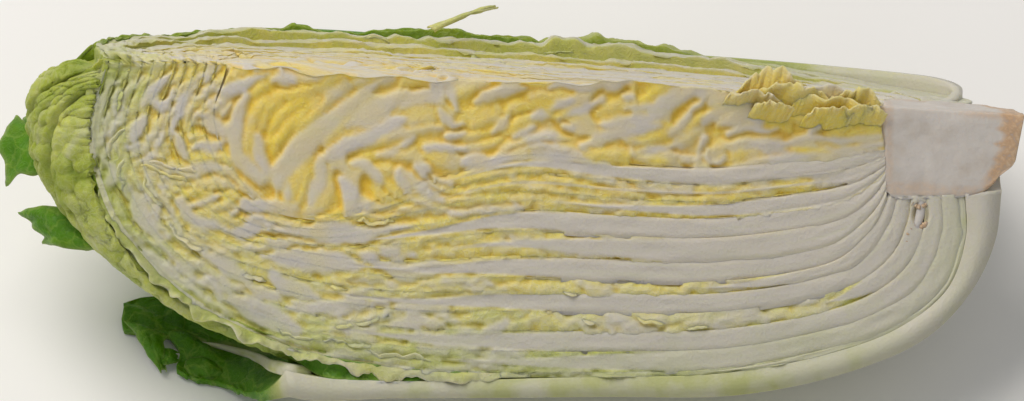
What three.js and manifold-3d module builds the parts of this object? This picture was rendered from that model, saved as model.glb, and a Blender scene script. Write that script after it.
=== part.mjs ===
// A lengthwise quarter of a napa cabbage, lying on its rounded outside with
// both cut faces up. Millimetres; +X points to the stem end, +Z is up, and the
// origin is the middle of the small flat spot that it rests on.
//
// The head is nested leaves round a crumpled heart, all grown from one core.
// A point of a leaf is given by where it is along the leaf (0 at the core, 1 at
// the tip), how far out it lies (level 0 at the heart, 1 at the head's outside)
// and its angle round the cut edge (0 on the front cut face, 90 on the rear).

import * as THREE from 'three';
import Module from 'manifold-3d';
import { mergeVertices } from 'three/addons/utils/BufferGeometryUtils.js';

const wasm = await Module();
wasm.setup();

// ---- Driving dimensions ----------------------------------------------------

const EDGE_HEIGHT = 92.2;    // cut edge above the table, at x = 0
const EDGE_SLOPE = 0.07;     // the stem end lies lower than the leaf tips
const QUARTER = Math.PI / 2; // angle between the two cut faces
const CLEARANCE = 0.35;      // air between leaves that lie on each other
const BLADE = 1.1;           // thickness of a leaf's thin blade
const TABLE_SKIN = 1.6;      // a blade pressed on the table keeps this much

// Guide lines in a cut face: [along the head, out from the cut edge].
const HEART_LINE = [
  [92, 13], [89, 13.5], [84.5, 14.5], [77, 16], [66.5, 17.5], [41, 21.5], [12.5, 22],
  [-17.5, 21.5], [-44.5, 30.5], [-74.5, 43], [-95, 40], [-105, 28.5], [-109.5, 15], [-106.5, 3],
];
const MIDDLE_LINE = [
  [92.8, 27.5], [90.5, 33.5], [86, 40], [79, 46.5], [67, 51], [40, 56], [10, 57.5],
  [-20, 58.5], [-50, 60], [-83, 56.5], [-108.5, 50.5], [-122, 38], [-128.5, 20], [-124, 4],
];
const HEAD_LINE = [
  [114.5, 25], [115.5, 37.5], [110.5, 54], [95.5, 66.5], [75, 75], [44.5, 82.5], [9, 86],
  [-22.5, 88], [-54, 88], [-88.5, 83], [-118, 70], [-139, 48], [-146.5, 22], [-143, 5],
];
const WRAP_LINE = [
  [127.5, 23], [126, 38], [119.5, 53.5], [106, 69], [82.5, 81], [49.5, 90], [9.5, 93],
  [-25.5, 95.5], [-55.5, 97.5], [-85.5, 99], [-124, 82], [-149, 56], [-157, 24], [-151, 7],
];
const GUIDES = [
  { level: 0, curve: guideCurve(HEART_LINE) },
  { level: 0.5, curve: guideCurve(MIDDLE_LINE) },
  { level: 1, curve: guideCurve(HEAD_LINE) },
  { level: 2, curve: guideCurve(WRAP_LINE) },
];
const STATIONS = HEART_LINE.length - 1; // a station is one guide point along a leaf

// Between the cut faces the leaf tips bulge out further than they do where cut.
const TIP_BULGE = 19;
const TIP_BULGE_STATIONS = [9, 11.7, 14]; // it starts, is full, and would end here

// Rows along every leaf, in stations: wide steps on the smooth ribs near the
// core, close steps where the blades are crinkled. Columns go round the quarter.
const RIB_ROWS = 7;
const CRINKLE_START = 4.5;
const CRINKLE_ROWS = 21;
const COLUMNS = 5;

// Each leaf, from the heart outwards: the levels between which the front and the
// rear face cut it, how much of that room a thick rib fills there (1 all, 0
// none), the station where the rib has thinned to a blade, how many rows its tip
// is short of the last, and how far its rear cut edge stands proud of the face.
const LEAVES = [
  // name, front levels, rear levels, rib at front and rear, rib end, short, proud
  ['leaf_13', [0.00, 0.075], [0.00, 0.05], [0.9, 0.1], 8, 3, 0.4],
  ['leaf_12', [0.075, 0.15], [0.05, 0.14], [0.1, 0.9], 9, 1, 0.8],
  ['leaf_11', [0.15, 0.225], [0.14, 0.20], [0.9, 0.3], 7, 2, 0.4],
  ['leaf_10', [0.225, 0.31], [0.20, 0.30], [1.0, 0.8], 9, 0, 0.6],
  ['leaf_09', [0.31, 0.415], [0.30, 0.37], [1.0, 0.2], 8, 2, 0.4],
  ['leaf_08', [0.415, 0.503], [0.37, 0.48], [1.0, 0.9], 9, 1, 0.9],
  ['leaf_07', [0.503, 0.572], [0.48, 0.58], [0.0, 0.9], 8, 3, 0.5],
  ['leaf_06', [0.572, 0.675], [0.58, 0.65], [1.0, 0.1], 9, 0, 1.2],
  ['leaf_05', [0.675, 0.775], [0.65, 0.76], [0.0, 1.0], 8, 2, 1.0],
  ['leaf_04', [0.775, 0.882], [0.76, 0.85], [1.0, 0.0], 9, 1, 3.0],
  ['leaf_03', [0.882, 0.992], [0.85, 0.99], [1.0, 0.3], 8, 0, 5.5],
  ['leaf_02', [0.992, 1.15], [0.99, 1.64], [0.1, 1.0], 6, 4, 6.5],
].map(([name, front, rear, rib, ribEnd, short, proud]) => (
  { name, front, rear, rib, ribEnd, short, proud }));
const EVEN_FROM = [7, 9.5]; // past these stations the leaves share the room evenly
const EVEN_LEVEL = 1.06;    // the level of the outermost leaf's outside there
const TIP_LOBES = [0, 12, 4, 15, 3, 6, 0]; // the outermost of them is torn so, per column
const BLISTERS = { rise: 1.8, from: 9.2 }; // bumps on the outside of its bare blade

// The loose outermost leaf: its rib follows the head, then its blade sinks to
// the table and spreads there.
const LOOSE = {
  name: 'leaf_01',
  front: [1.22, 2.0],
  rear: [1.72, 2.0],
  proud: 4.5,             // its rear cut edge over the rear face
  leaves: 9,              // the station where the blade leaves the head
  rows: 11,               // rows of the blade on the table
  sunk: 0.7,              // the share of the blade over which it sinks
  tip: -139,              // its far end, along the head
  frontEdge: [-62, -52, -47, -30], // from the head to the tip, in Y
  rearEdge: [70, 58, 44, 26],
  curl: 13,               // how high its front corner curls up
  tear: 9,                // how unevenly its far end is torn
};

// The heart: crumpled leaves packed too tightly to part.
const HEART_LAST_STATION = 12;
const HEART_FACE_STEPS = 5;
const HEART_CRUMPLE = 1.4;
const HEART_SWELL = { height: 3.5, along: 24, reach: 38 }; // the cut edge rises here

// Cut leaf edges that stand out of the heart: where they run in a cut face as
// [along, out], how wide they are and how far they rise.
const FRONT_RIDGES = [
  { path: [[-101, 9], [-101.5, 19], [-99, 28], [-91, 34.5]], width: 4.5, rise: 2.6 },
  { path: [[-90, 29], [-80.5, 18], [-70.5, 9.5], [-54, 3]], width: 4.2, rise: 2.8 },
  { path: [[-80.5, 37], [-78, 32], [-74.5, 26]], width: 4.5, rise: 2.2 },
  { path: [[-69, 31], [-66, 27], [-64, 22]], width: 4.5, rise: 2.2 },
  { path: [[-66, 14], [-57, 10], [-46, 5.5]], width: 5, rise: 2.4 },
  { path: [[-55, 26], [-50, 21], [-46, 15]], width: 3.5, rise: 2 },
  { path: [[-30, 6], [-22, 4], [-13, 5]], width: 3, rise: 2.2 },
  { path: [[-10, 5], [3, 3.5], [16, 3.5]], width: 5, rise: 2.4 },
  { path: [[17, 14], [28, 7.5], [40, 3]], width: 4.2, rise: 2.8 },
  { path: [[43, 12], [50, 10.5], [57, 11]], width: 4.5, rise: 2 },
  { path: [[-11, 19], [3.5, 16.5], [16, 17]], width: 4.5, rise: 2 },
  { path: [[60, 8], [72, 6.5], [84, 8]], width: 4, rise: 2.4 },
];
const REAR_RIDGES = [
  { path: [[-98, 8], [-96, 20], [-88, 29]], width: 4.2, rise: 2.4 },
  { path: [[-80, 31], [-70, 20], [-58, 11]], width: 4.2, rise: 2.6 },
  { path: [[-52, 22], [-40, 14], [-26, 11]], width: 4, rise: 2.2 },
  { path: [[-14, 14], [2, 9], [18, 9]], width: 4, rise: 2 },
  { path: [[24, 14], [36, 8], [46, 7]], width: 3.6, rise: 2.4 },
  { path: [[48, 9], [60, 5], [70, 8]], width: 5, rise: 6 },
  { path: [[56, 13], [70, 12], [82, 10]], width: 4, rise: 4.5 },
];
const RIDGE_STEPS = 6;
const RIDGE_ROOT = 2.6; // how deep a ridge is sunk in the heart

// The core, from the heart to the cut stem end: [along, radius].
const CORE_LINE = [
  [93.3, 24.5], [95, 26.2], [103, 25.7], [114, 24], [121, 23], [126.5, 21.8], [130, 19.5],
];
const CORE_SLANT = 0.17; // the stem end was cut at a slant

// A shred of torn leaf that stands out of this leaf's rear edge: along, out and
// height over the rear face, with its width there.
const SHRED_LEAF = 'leaf_03';
const SHRED = [
  { along: -56, out: 82, stand: 2, width: 5 },
  { along: -46, out: 83, stand: 8, width: 4.4 },
  { along: -36, out: 83.5, stand: 10.5, width: 3.4 },
  { along: -29, out: 83, stand: 13, width: 2.2 },
  { along: -24, out: 82, stand: 15.5, width: 0.8 },
];
const SHRED_THICK = 1.4;

const PALE_RIB = 0xefeee2;
const LIGHT_GREEN = 0x9dbb4e;
const DARK_GREEN = 0x4f8f26;
const HEART_YELLOW = 0xf0e27a;
const CORE_CREAM = 0xf1ece2;

const random = seededRandom(20523);

// ---- Small helpers ----------------------------------------------------------

function seededRandom(seed) {
  let state = seed;
  return () => {
    state = (state + 0x6d2b79f5) | 0;
    let mixed = Math.imul(state ^ (state >>> 15), 1 | state);
    mixed = (mixed + Math.imul(mixed ^ (mixed >>> 7), 61 | mixed)) ^ mixed;
    return ((mixed ^ (mixed >>> 14)) >>> 0) / 4294967296;
  };
}

function guideCurve(points) {
  const corners = points.map(([x, r]) => new THREE.Vector3(x, r, 0));
  return new THREE.CatmullRomCurve3(corners, false, 'centripetal');
}

const { lerp, smoothstep, clamp } = THREE.MathUtils;

// The point of the cut face at a level and station, as [along, out].
function guidePoint(level, station) {
  const upper = Math.max(1, GUIDES.findIndex((guide) => level <= guide.level));
  const inner = GUIDES[upper - 1];
  const outer = GUIDES[upper];
  const share = (level - inner.level) / (outer.level - inner.level);
  const along = clamp(station / STATIONS, 0, 1);
  const a = inner.curve.getPoint(along);
  const b = outer.curve.getPoint(along);
  return [lerp(a.x, b.x, share), lerp(a.y, b.y, share)];
}

// Places a point given along the head, out from the cut edge and by its angle.
function place(along, out, angle) {
  const turn = QUARTER / 2 + angle;
  return new THREE.Vector3(
    along,
    -out * Math.cos(turn),
    EDGE_HEIGHT - EDGE_SLOPE * along - out * Math.sin(turn),
  );
}

function bulge(level, station, angle) {
  const [start, full, end] = TIP_BULGE_STATIONS;
  const along = smoothstep(station, start, full) * (1 - smoothstep(station, full, end));
  const round = Math.sqrt(Math.max(0, Math.sin(2 * clamp(angle, 0, QUARTER))));
  return TIP_BULGE * along * clamp(level, 0, 1) * round;
}

// The way out of a cut face: the front one at angle 0, the rear one at QUARTER.
const FRONT_OUT = new THREE.Vector3(0, -Math.SQRT1_2, Math.SQRT1_2);
const REAR_OUT = new THREE.Vector3(0, Math.SQRT1_2, Math.SQRT1_2);

// ---- Solids from grids ------------------------------------------------------

// Makes a geometry of triangles that all wind the same way, and turns them over
// where they face inwards.
function geometryOf(points, triangles) {
  let volume = 0;
  for (let i = 0; i < triangles.length; i += 3) {
    const [a, b, c] = triangles.slice(i, i + 3).map((index) => points[index]);
    volume += a.dot(b.clone().cross(c));
  }
  if (volume < 0) {
    triangles.reverse();
  }
  const geometry = new THREE.BufferGeometry();
  geometry.setAttribute('position', new THREE.Float32BufferAttribute(points.flatMap((p) => p.toArray()), 3));
  geometry.setIndex(triangles);
  return mergeVertices(geometry, 1e-4);
}

// A sheet between an inner and an outer grid of points with the same rows and
// columns. Both faces are split along the same diagonals.
function sheetGeometry(inner, outer) {
  const rows = inner.length;
  const columns = inner[0].length;
  const points = [...inner.flat(), ...outer.flat()];
  const at = (row, column) => row * columns + column;
  const lift = rows * columns;
  const triangles = [];
  const quad = (a, b, c, d) => triangles.push(a, b, c, a, c, d);
  for (let row = 0; row + 1 < rows; row++) {
    for (let column = 0; column + 1 < columns; column++) {
      const a = at(row, column);
      const b = at(row + 1, column);
      const c = at(row + 1, column + 1);
      const d = at(row, column + 1);
      triangles.push(a, c, b, a, d, c);
      quad(lift + a, lift + b, lift + c, lift + d);
    }
  }
  for (let row = 0; row + 1 < rows; row++) {
    const a = at(row, 0);
    const b = at(row + 1, 0);
    quad(a, b, lift + b, lift + a);
    const c = at(row, columns - 1);
    const d = at(row + 1, columns - 1);
    quad(d, c, lift + c, lift + d);
  }
  for (let column = 0; column + 1 < columns; column++) {
    const a = at(0, column);
    const b = at(0, column + 1);
    quad(b, a, lift + a, lift + b);
    const c = at(rows - 1, column);
    const d = at(rows - 1, column + 1);
    quad(c, d, lift + d, lift + c);
  }
  return geometryOf(points, triangles);
}

// A solid through closed loops of points, its ends closed by fans.
function loftGeometry(loops) {
  const size = loops[0].length;
  const points = loops.flat();
  const triangles = [];
  for (let row = 0; row + 1 < loops.length; row++) {
    for (let step = 0; step < size; step++) {
      const a = row * size + step;
      const b = row * size + ((step + 1) % size);
      triangles.push(a, b, b + size, a, b + size, a + size);
    }
  }
  for (const row of [0, loops.length - 1]) {
    const sum = loops[row].reduce((total, point) => total.add(point), new THREE.Vector3());
    const hub = points.push(sum.divideScalar(size)) - 1;
    for (let step = 0; step < size; step++) {
      const rim = [row * size + step, row * size + ((step + 1) % size)];
      triangles.push(hub, ...(row ? rim : rim.reverse()));
    }
  }
  return geometryOf(points, triangles);
}

function solidOf(geometry) {
  return new wasm.Manifold(new wasm.Mesh({
    numProp: 3,
    vertProperties: new Float32Array(geometry.attributes.position.array),
    triVerts: new Uint32Array(geometry.index.array),
  }));
}

function fuse(geometries) {
  const mesh = geometries.map(solidOf).reduce((sum, solid) => sum.add(solid)).getMesh();
  const geometry = new THREE.BufferGeometry();
  geometry.setAttribute('position', new THREE.BufferAttribute(mesh.vertProperties, 3));
  geometry.setIndex([...mesh.triVerts]);
  return geometry;
}

// ---- Leaves of the head -----------------------------------------------------

function rowStations() {
  const rows = [];
  for (let i = 0; i < RIB_ROWS; i++) {
    rows.push((CRINKLE_START * i) / RIB_ROWS);
  }
  for (let i = 0; i <= CRINKLE_ROWS; i++) {
    rows.push(lerp(CRINKLE_START, STATIONS, i / CRINKLE_ROWS));
  }
  return rows;
}
const ROWS = rowStations();

// The levels between which a leaf lies, at a station and an angle.
function leafRoom(index, station, angle) {
  const leaf = LEAVES[index];
  const round = smoothstep(angle, 0, QUARTER);
  const even = smoothstep(station, ...EVEN_FROM);
  return [0, 1].map((side) => {
    const cut = lerp(leaf.front[side], leaf.rear[side], round);
    const level = (EVEN_LEVEL * (index + side)) / LEAVES.length;
    return lerp(cut, level, even);
  });
}

function leafGrids(index) {
  const leaf = LEAVES[index];
  const isWrap = index === LEAVES.length - 1;
  const stations = ROWS.slice(0, ROWS.length - leaf.short);
  const phase = random() * Math.PI * 2;
  const angles = Array.from({ length: COLUMNS + 1 }, (_, column) => (QUARTER * column) / COLUMNS);
  const inner = [];
  const outer = [];
  stations.forEach((station, row) => {
    const innerRow = [];
    const outerRow = [];
    for (let column = 0; column <= angles.length; column++) {
      const angle = angles[Math.min(column, COLUMNS)];
      const [low, high] = leafRoom(index, station, angle);
      const shift = bulge(high, station, angle);
      const a = guidePoint(low, station);
      const b = guidePoint(high, station);
      const room = Math.hypot(b[0] - a[0], b[1] - a[1]) - CLEARANCE;
      const rib = lerp(leaf.rib[0], leaf.rib[1], smoothstep(angle, 0, QUARTER))
        * (1 - smoothstep(station, leaf.ribEnd - 3, leaf.ribEnd));
      const thick = clamp(rib * room, Math.min(BLADE, room), room);
      const wave = Math.sin(row * 2.2 + column * 0.9 + phase) * 0.75 + (random() - 0.5) * 0.5;
      const slack = (room - thick) / 2;
      const middle = CLEARANCE / 2 + thick / 2 + slack * (1 + wave);
      const span = room + CLEARANCE;
      const proud = column > COLUMNS ? edgeStand(leaf.proud, row) : 0;
      const front = column === 0 ? (random() - 0.5) * 0.8 : 0;
      const point = (distance) => {
        const share = distance / span;
        const out = lerp(a[1], b[1], share);
        const lean = (proud + front) / Math.max(out, 12);
        return place(lerp(a[0], b[0], share) - shift, out, angle + lean);
      };
      const blister = isWrap && station > BLISTERS.from ? BLISTERS.rise * random() : 0;
      innerRow.push(point(middle - thick / 2));
      outerRow.push(point(middle + thick / 2 + blister));
    }
    inner.push(innerRow);
    outer.push(outerRow);
  });
  return { inner, outer };
}

// How far a rear cut edge stands proud: most along the crinkled blades.
function edgeStand(proud, row) {
  const along = smoothstep(row, 0, RIB_ROWS + 4);
  return 0.3 + proud * (0.55 + 0.45 * along) * (0.75 + 0.5 * random());
}

// A torn, waved edge: the last row is drawn back unevenly along its leaf.
function tearTip({ inner, outer }) {
  const last = inner.length - 1;
  inner[last].forEach((_, column) => {
    const back = 0.65 * random();
    for (const grid of [inner, outer]) {
      grid[last][column].lerp(grid[last - 1][column], back);
    }
  });
}

// The wrapper leaf's last rows flare away from the head in lobes.
function flareTip({ inner, outer }) {
  const last = inner.length - 1;
  TIP_LOBES.forEach((reach, column) => {
    for (const grid of [inner, outer]) {
      grid[last][column].x -= reach;
      grid[last - 1][column].x -= reach * 0.3;
    }
  });
}

function leafGeometry(index) {
  const grids = leafGrids(index);
  if (index === LEAVES.length - 1) {
    flareTip(grids);
  } else {
    tearTip(grids);
  }
  return sheetGeometry(grids.inner, grids.outer);
}

// The torn shred, as a thin strip that tapers to a point.
function shredGeometry() {
  const loops = SHRED.map(({ along, out, stand, width }) => {
    const middle = place(along, out, QUARTER).addScaledVector(REAR_OUT, stand);
    const across = new THREE.Vector3(0, -Math.SQRT1_2, Math.SQRT1_2);
    const up = new THREE.Vector3(-0.45, 0.6, 0.66).normalize();
    return [[-1, -1], [1, -1], [1, 1], [-1, 1]].map(([side, top]) => middle.clone()
      .addScaledVector(across, (side * SHRED_THICK) / 2)
      .addScaledVector(up, (top * width) / 2));
  });
  return loftGeometry(loops);
}

// ---- The loose outermost leaf -----------------------------------------------

// One row of the rib's inside (side 0) or outside (side 1), with the given number
// of columns, and a last point proud of the rear face.
function looseRow(station, side, columns) {
  const row = Array.from({ length: columns + 1 }, (_, column) => {
    const angle = (QUARTER * column) / columns;
    const level = lerp(LOOSE.front[side], LOOSE.rear[side], smoothstep(angle, 0, QUARTER));
    return place(...guidePoint(level, station), angle);
  });
  return [...row, row[columns].clone().addScaledVector(REAR_OUT, LOOSE.proud)];
}

// The rib's inside lies flat on the next leaf's facets; its outside is rounder.
function looseGrids() {
  const inner = [];
  const outer = [];
  for (const station of ROWS.filter((row) => row <= LOOSE.leaves)) {
    const outerRow = looseRow(station, 1, 2 * COLUMNS);
    const edge = outerRow.pop();
    inner.push(halveSteps(looseRow(station, 0, COLUMNS)));
    outer.push([...outerRow, outerRow.at(-1).clone().lerp(edge, 0.5), edge]);
  }
  inner.flat().forEach((point) => { point.z = Math.max(point.z, TABLE_SKIN); });
  outer.flat().forEach((point) => { point.z = Math.max(point.z, 0); });
  spreadBlade(inner, outer);
  return { inner, outer };
}

// Puts a point halfway between each two of a row.
function halveSteps(row) {
  return row.flatMap((point, column) => (
    column + 1 < row.length ? [point, point.clone().lerp(row[column + 1], 0.5)] : [point]));
}

// Adds the rows of the blade, which sinks from the head and lies on the table.
function spreadBlade(inner, outer) {
  const start = outer.at(-1);
  const thickness = start.map((point, column) => point.distanceTo(inner.at(-1)[column]));
  const frontEdge = edgeCurve(LOOSE.frontEdge);
  const rearEdge = edgeCurve(LOOSE.rearEdge);
  for (let row = 1; row <= LOOSE.rows; row++) {
    const along = row / LOOSE.rows;
    const sunk = smoothstep(along, 0, LOOSE.sunk);
    const lower = start.map((from, column) => {
      const across = column / (start.length - 1);
      const rim = Math.abs(2 * across - 1) ** 3; // 0 in the middle, 1 at both edges
      const torn = along === 1 ? LOOSE.tear * random() : 0;
      const x = lerp(from.x, LOOSE.tip, along) + torn + 5 * rim * along;
      const y = lerp(frontEdge(along), rearEdge(along), across) + 1.5 * rim * (-1) ** column;
      const ripple = 1.2 + 1.1 * Math.sin(row * 2.1 + column * 1.3) + random();
      const curl = LOOSE.curl * (1 - across) ** 3 * smoothstep(along, 0.55, 0.95);
      const rise = (0.3 + 0.7 * along) * (0.6 + 2.6 * rim) * ripple * sunk + curl;
      const spread = new THREE.Vector3(x, y, rise * (0.35 + 0.65 * rim));
      return from.clone().setX(x).lerp(spread, sunk);
    });
    outer.push(lower);
    inner.push(lower.map((point, column) => {
      const thick = lerp(BLADE, thickness[column], (1 - along) ** 6);
      return point.clone().add(new THREE.Vector3(0, 0, thick));
    }));
  }
}

// A smooth curve through values at equal steps, as a function of 0 to 1.
function edgeCurve(values) {
  const curve = new THREE.CatmullRomCurve3(values.map((y, step) => new THREE.Vector3(step, y, 0)));
  return (along) => curve.getPoint(along).y;
}

// ---- The heart --------------------------------------------------------------

function swell(along) {
  return HEART_SWELL.height * Math.exp(-(((along - HEART_SWELL.along) / HEART_SWELL.reach) ** 2));
}

// One loop round the heart: down the front face, round its back and up the rear.
function heartLoop(station) {
  const [along, out] = guidePoint(0, station);
  const foot = Math.max(along * 0.97, -104);
  const full = out - CLEARANCE;
  const facePoint = (share, angle, normal) => {
    const crumple = HEART_CRUMPLE * (2 * random() - 1) * Math.min(1, 6 * (1 - share));
    const edge = swell(along) * (1 - share) ** 2;
    return place(lerp(foot, along, share), full * share, angle)
      .addScaledVector(normal, share < 1 ? crumple + edge : 0);
  };
  const shares = Array.from({ length: HEART_FACE_STEPS }, (_, step) => step / HEART_FACE_STEPS);
  const edge = facePoint(0, 0, new THREE.Vector3(0, 0, 1));
  const front = shares.slice(1).map((share) => facePoint(share, 0, FRONT_OUT));
  const back = Array.from({ length: COLUMNS + 1 }, (_, column) => (
    place(along, full, (QUARTER * column) / COLUMNS)));
  const rear = shares.slice(1).reverse().map((share) => facePoint(share, QUARTER, REAR_OUT));
  return [edge, ...front, ...back, ...rear];
}

// A bevelled bar that follows a path in a cut face, sunk in the heart.
function ridgeGeometry({ path, width, rise }, angle, normal) {
  const curve = guideCurve(path);
  const loops = [];
  for (let step = 0; step <= RIDGE_STEPS; step++) {
    const along = step / RIDGE_STEPS;
    const point = curve.getPoint(along);
    const heading = curve.getTangent(along);
    const taper = 0.55 + 0.45 * Math.sin(Math.PI * along);
    const side = place(point.x - heading.y, point.y + heading.x, angle)
      .sub(place(point.x, point.y, angle));
    const middle = place(point.x, point.y, angle).addScaledVector(normal, swell(point.x) * 0.5);
    const corner = (across, up) => middle.clone()
      .addScaledVector(side, (across * width * taper) / 2)
      .addScaledVector(normal, up);
    const top = rise * taper;
    loops.push([corner(-1, -RIDGE_ROOT), corner(1, -RIDGE_ROOT), corner(0.6, top), corner(-0.6, top)]);
  }
  return loftGeometry(loops);
}

function heartGeometry() {
  const loops = ROWS.filter((station) => station <= HEART_LAST_STATION).map(heartLoop);
  return fuse([
    loftGeometry(loops),
    ...FRONT_RIDGES.map((ridge) => ridgeGeometry(ridge, 0, FRONT_OUT)),
    ...REAR_RIDGES.map((ridge) => ridgeGeometry(ridge, QUARTER, REAR_OUT)),
  ]);
}

// ---- The core ---------------------------------------------------------------

function coreLoop([along, radius]) {
  const end = smoothstep(along, CORE_LINE[0][0], CORE_LINE.at(-1)[0]);
  const point = (out, angle) => place(along + CORE_SLANT * end * (radius - out), out, angle);
  const half = radius / 2;
  const back = Array.from({ length: COLUMNS + 1 }, (_, column) => (
    point(radius, (QUARTER * column) / COLUMNS)));
  return [point(0, 0), point(half, 0), ...back, point(half, QUARTER)];
}

// ---- Assembly ---------------------------------------------------------------

const cabbage = new THREE.Group();

function addPiece(name, geometry, color, roughness) {
  geometry.computeVertexNormals();
  const material = new THREE.MeshStandardMaterial({ color, roughness, metalness: 0 });
  const mesh = new THREE.Mesh(geometry, material);
  mesh.name = name;
  cabbage.add(mesh);
}

const loose = looseGrids();
addPiece(LOOSE.name, sheetGeometry(loose.inner, loose.outer), DARK_GREEN, 0.5);
LEAVES.forEach((leaf, index) => {
  const geometry = leafGeometry(index);
  const whole = leaf.name === SHRED_LEAF ? fuse([geometry, shredGeometry()]) : geometry;
  addPiece(leaf.name, whole, index === LEAVES.length - 1 ? LIGHT_GREEN : PALE_RIB, 0.55);
});
addPiece('heart', heartGeometry(), HEART_YELLOW, 0.6);
addPiece('core', loftGeometry(CORE_LINE.map(coreLoop)), CORE_CREAM, 0.5);

export default cabbage;
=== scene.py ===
import math
from collections import namedtuple

import bpy
import numpy as np
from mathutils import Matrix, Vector, kdtree


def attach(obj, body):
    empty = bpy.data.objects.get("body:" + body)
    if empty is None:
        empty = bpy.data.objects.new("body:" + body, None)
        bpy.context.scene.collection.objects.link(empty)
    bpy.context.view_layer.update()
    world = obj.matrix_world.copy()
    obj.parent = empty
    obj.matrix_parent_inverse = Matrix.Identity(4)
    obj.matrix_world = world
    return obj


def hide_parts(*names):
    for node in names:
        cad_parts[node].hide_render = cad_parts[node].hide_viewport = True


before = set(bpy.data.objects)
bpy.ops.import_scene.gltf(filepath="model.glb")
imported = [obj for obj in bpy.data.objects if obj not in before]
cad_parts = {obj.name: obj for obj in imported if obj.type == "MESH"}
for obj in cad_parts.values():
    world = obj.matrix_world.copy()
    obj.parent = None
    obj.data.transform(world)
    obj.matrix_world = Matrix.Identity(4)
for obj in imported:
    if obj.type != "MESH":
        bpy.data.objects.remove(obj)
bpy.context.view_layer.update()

MM = 0.001

# ---- Camera ------------------------------------------------------------------

CAMERA_AZIMUTH = math.radians(1.35)
CAMERA_ELEVATION = math.radians(51)
CAMERA_DISTANCE = 2.0
VIEW_WIDTH = 0.3072                # metres across the picture at the cut edge
SENSOR = 36.0                      # mm
FAR_CLIP = 20
# The middle of the view: left of and below the spot at this height over the head's middle.
AIM_HEIGHT = 0.0922
AIM_LEFT = 0.0204
AIM_BELOW = 0.0339


def make_camera():
    """The camera looks down over the front cut, from almost square to the head."""
    sin_a, cos_a = math.sin(CAMERA_AZIMUTH), math.cos(CAMERA_AZIMUTH)
    sin_e, cos_e = math.sin(CAMERA_ELEVATION), math.cos(CAMERA_ELEVATION)
    right = Vector((cos_a, sin_a, 0))
    up = Vector((-sin_a * sin_e, cos_a * sin_e, cos_e))
    back = Vector((sin_a * cos_e, -cos_a * cos_e, sin_e))
    target = Vector((0, 0, AIM_HEIGHT)) - AIM_LEFT * right - AIM_BELOW * up
    data = bpy.data.cameras.new("camera")
    data.sensor_width = SENSOR
    data.lens = SENSOR * CAMERA_DISTANCE / VIEW_WIDTH
    data.clip_end = FAR_CLIP
    camera = bpy.data.objects.new("camera", data)
    camera.location = target + back * CAMERA_DISTANCE
    camera.rotation_mode = "QUATERNION"
    camera.rotation_quaternion = (-back).to_track_quat("-Z", "Y")
    bpy.context.scene.collection.objects.link(camera)
    bpy.context.scene.camera = camera


make_camera()

# ---- The head's lines, as in the solids --------------------------------------

EDGE_HEIGHT = 92.2
EDGE_SLOPE = 0.07
QUARTER = math.pi / 2
SEAM = 0.3                         # air between two leaves that lie on each other
BLADE = 1.1                        # thickness of the loose leaf's blade

# Guide lines in a cut face: [along the head, out from the cut edge].
SPINE_LINE = [
    [92, 6], [88, 7], [80, 8.5], [68, 9], [52, 9.5], [34, 10], [14, 10],
    [-8, 9], [-30, 12], [-52, 22], [-70, 28], [-78, 22], [-70, 12], [-56, 3]]
HEART_LINE = [
    [92, 13], [89, 13.5], [84.5, 14.5], [77, 16], [66.5, 17.5], [41, 21.5], [12.5, 22],
    [-17.5, 21.5], [-44.5, 30.5], [-74.5, 43], [-95, 40], [-105, 28.5], [-109.5, 15], [-106.5, 3]]
MIDDLE_LINE = [
    [92.8, 27.5], [90.5, 33.5], [86, 40], [79, 46.5], [67, 51], [40, 56], [10, 57.5],
    [-20, 58.5], [-50, 60], [-83, 56.5], [-108.5, 50.5], [-122, 38], [-128.5, 20], [-124, 4]]
HEAD_LINE = [
    [114.5, 25], [115.5, 37.5], [110.5, 54], [95.5, 66.5], [75, 75], [44.5, 82.5], [9, 86],
    [-22.5, 88], [-54, 88], [-88.5, 83], [-118, 70], [-139, 48], [-146.5, 22], [-143, 5]]
WRAP_LINE = [
    [127.5, 23], [126, 38], [119.5, 53.5], [106, 69], [82.5, 81], [49.5, 90], [9.5, 93],
    [-25.5, 95.5], [-55.5, 97.5], [-85.5, 99], [-124, 82], [-149, 56], [-157, 24], [-151, 7]]
GUIDE_LEVELS = np.array([-1, 0, 0.5, 1, 2.0])
STATIONS = 13
TIP_BULGE = 19                     # how far the closed tip bulges out between the cuts,
TIP_BULGE_STATIONS = (9, 11.7, 14)      # where it starts, is fullest and ends,
BULGE_DEPTH = 3.5                  # and how deep inside the cut it starts

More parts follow.
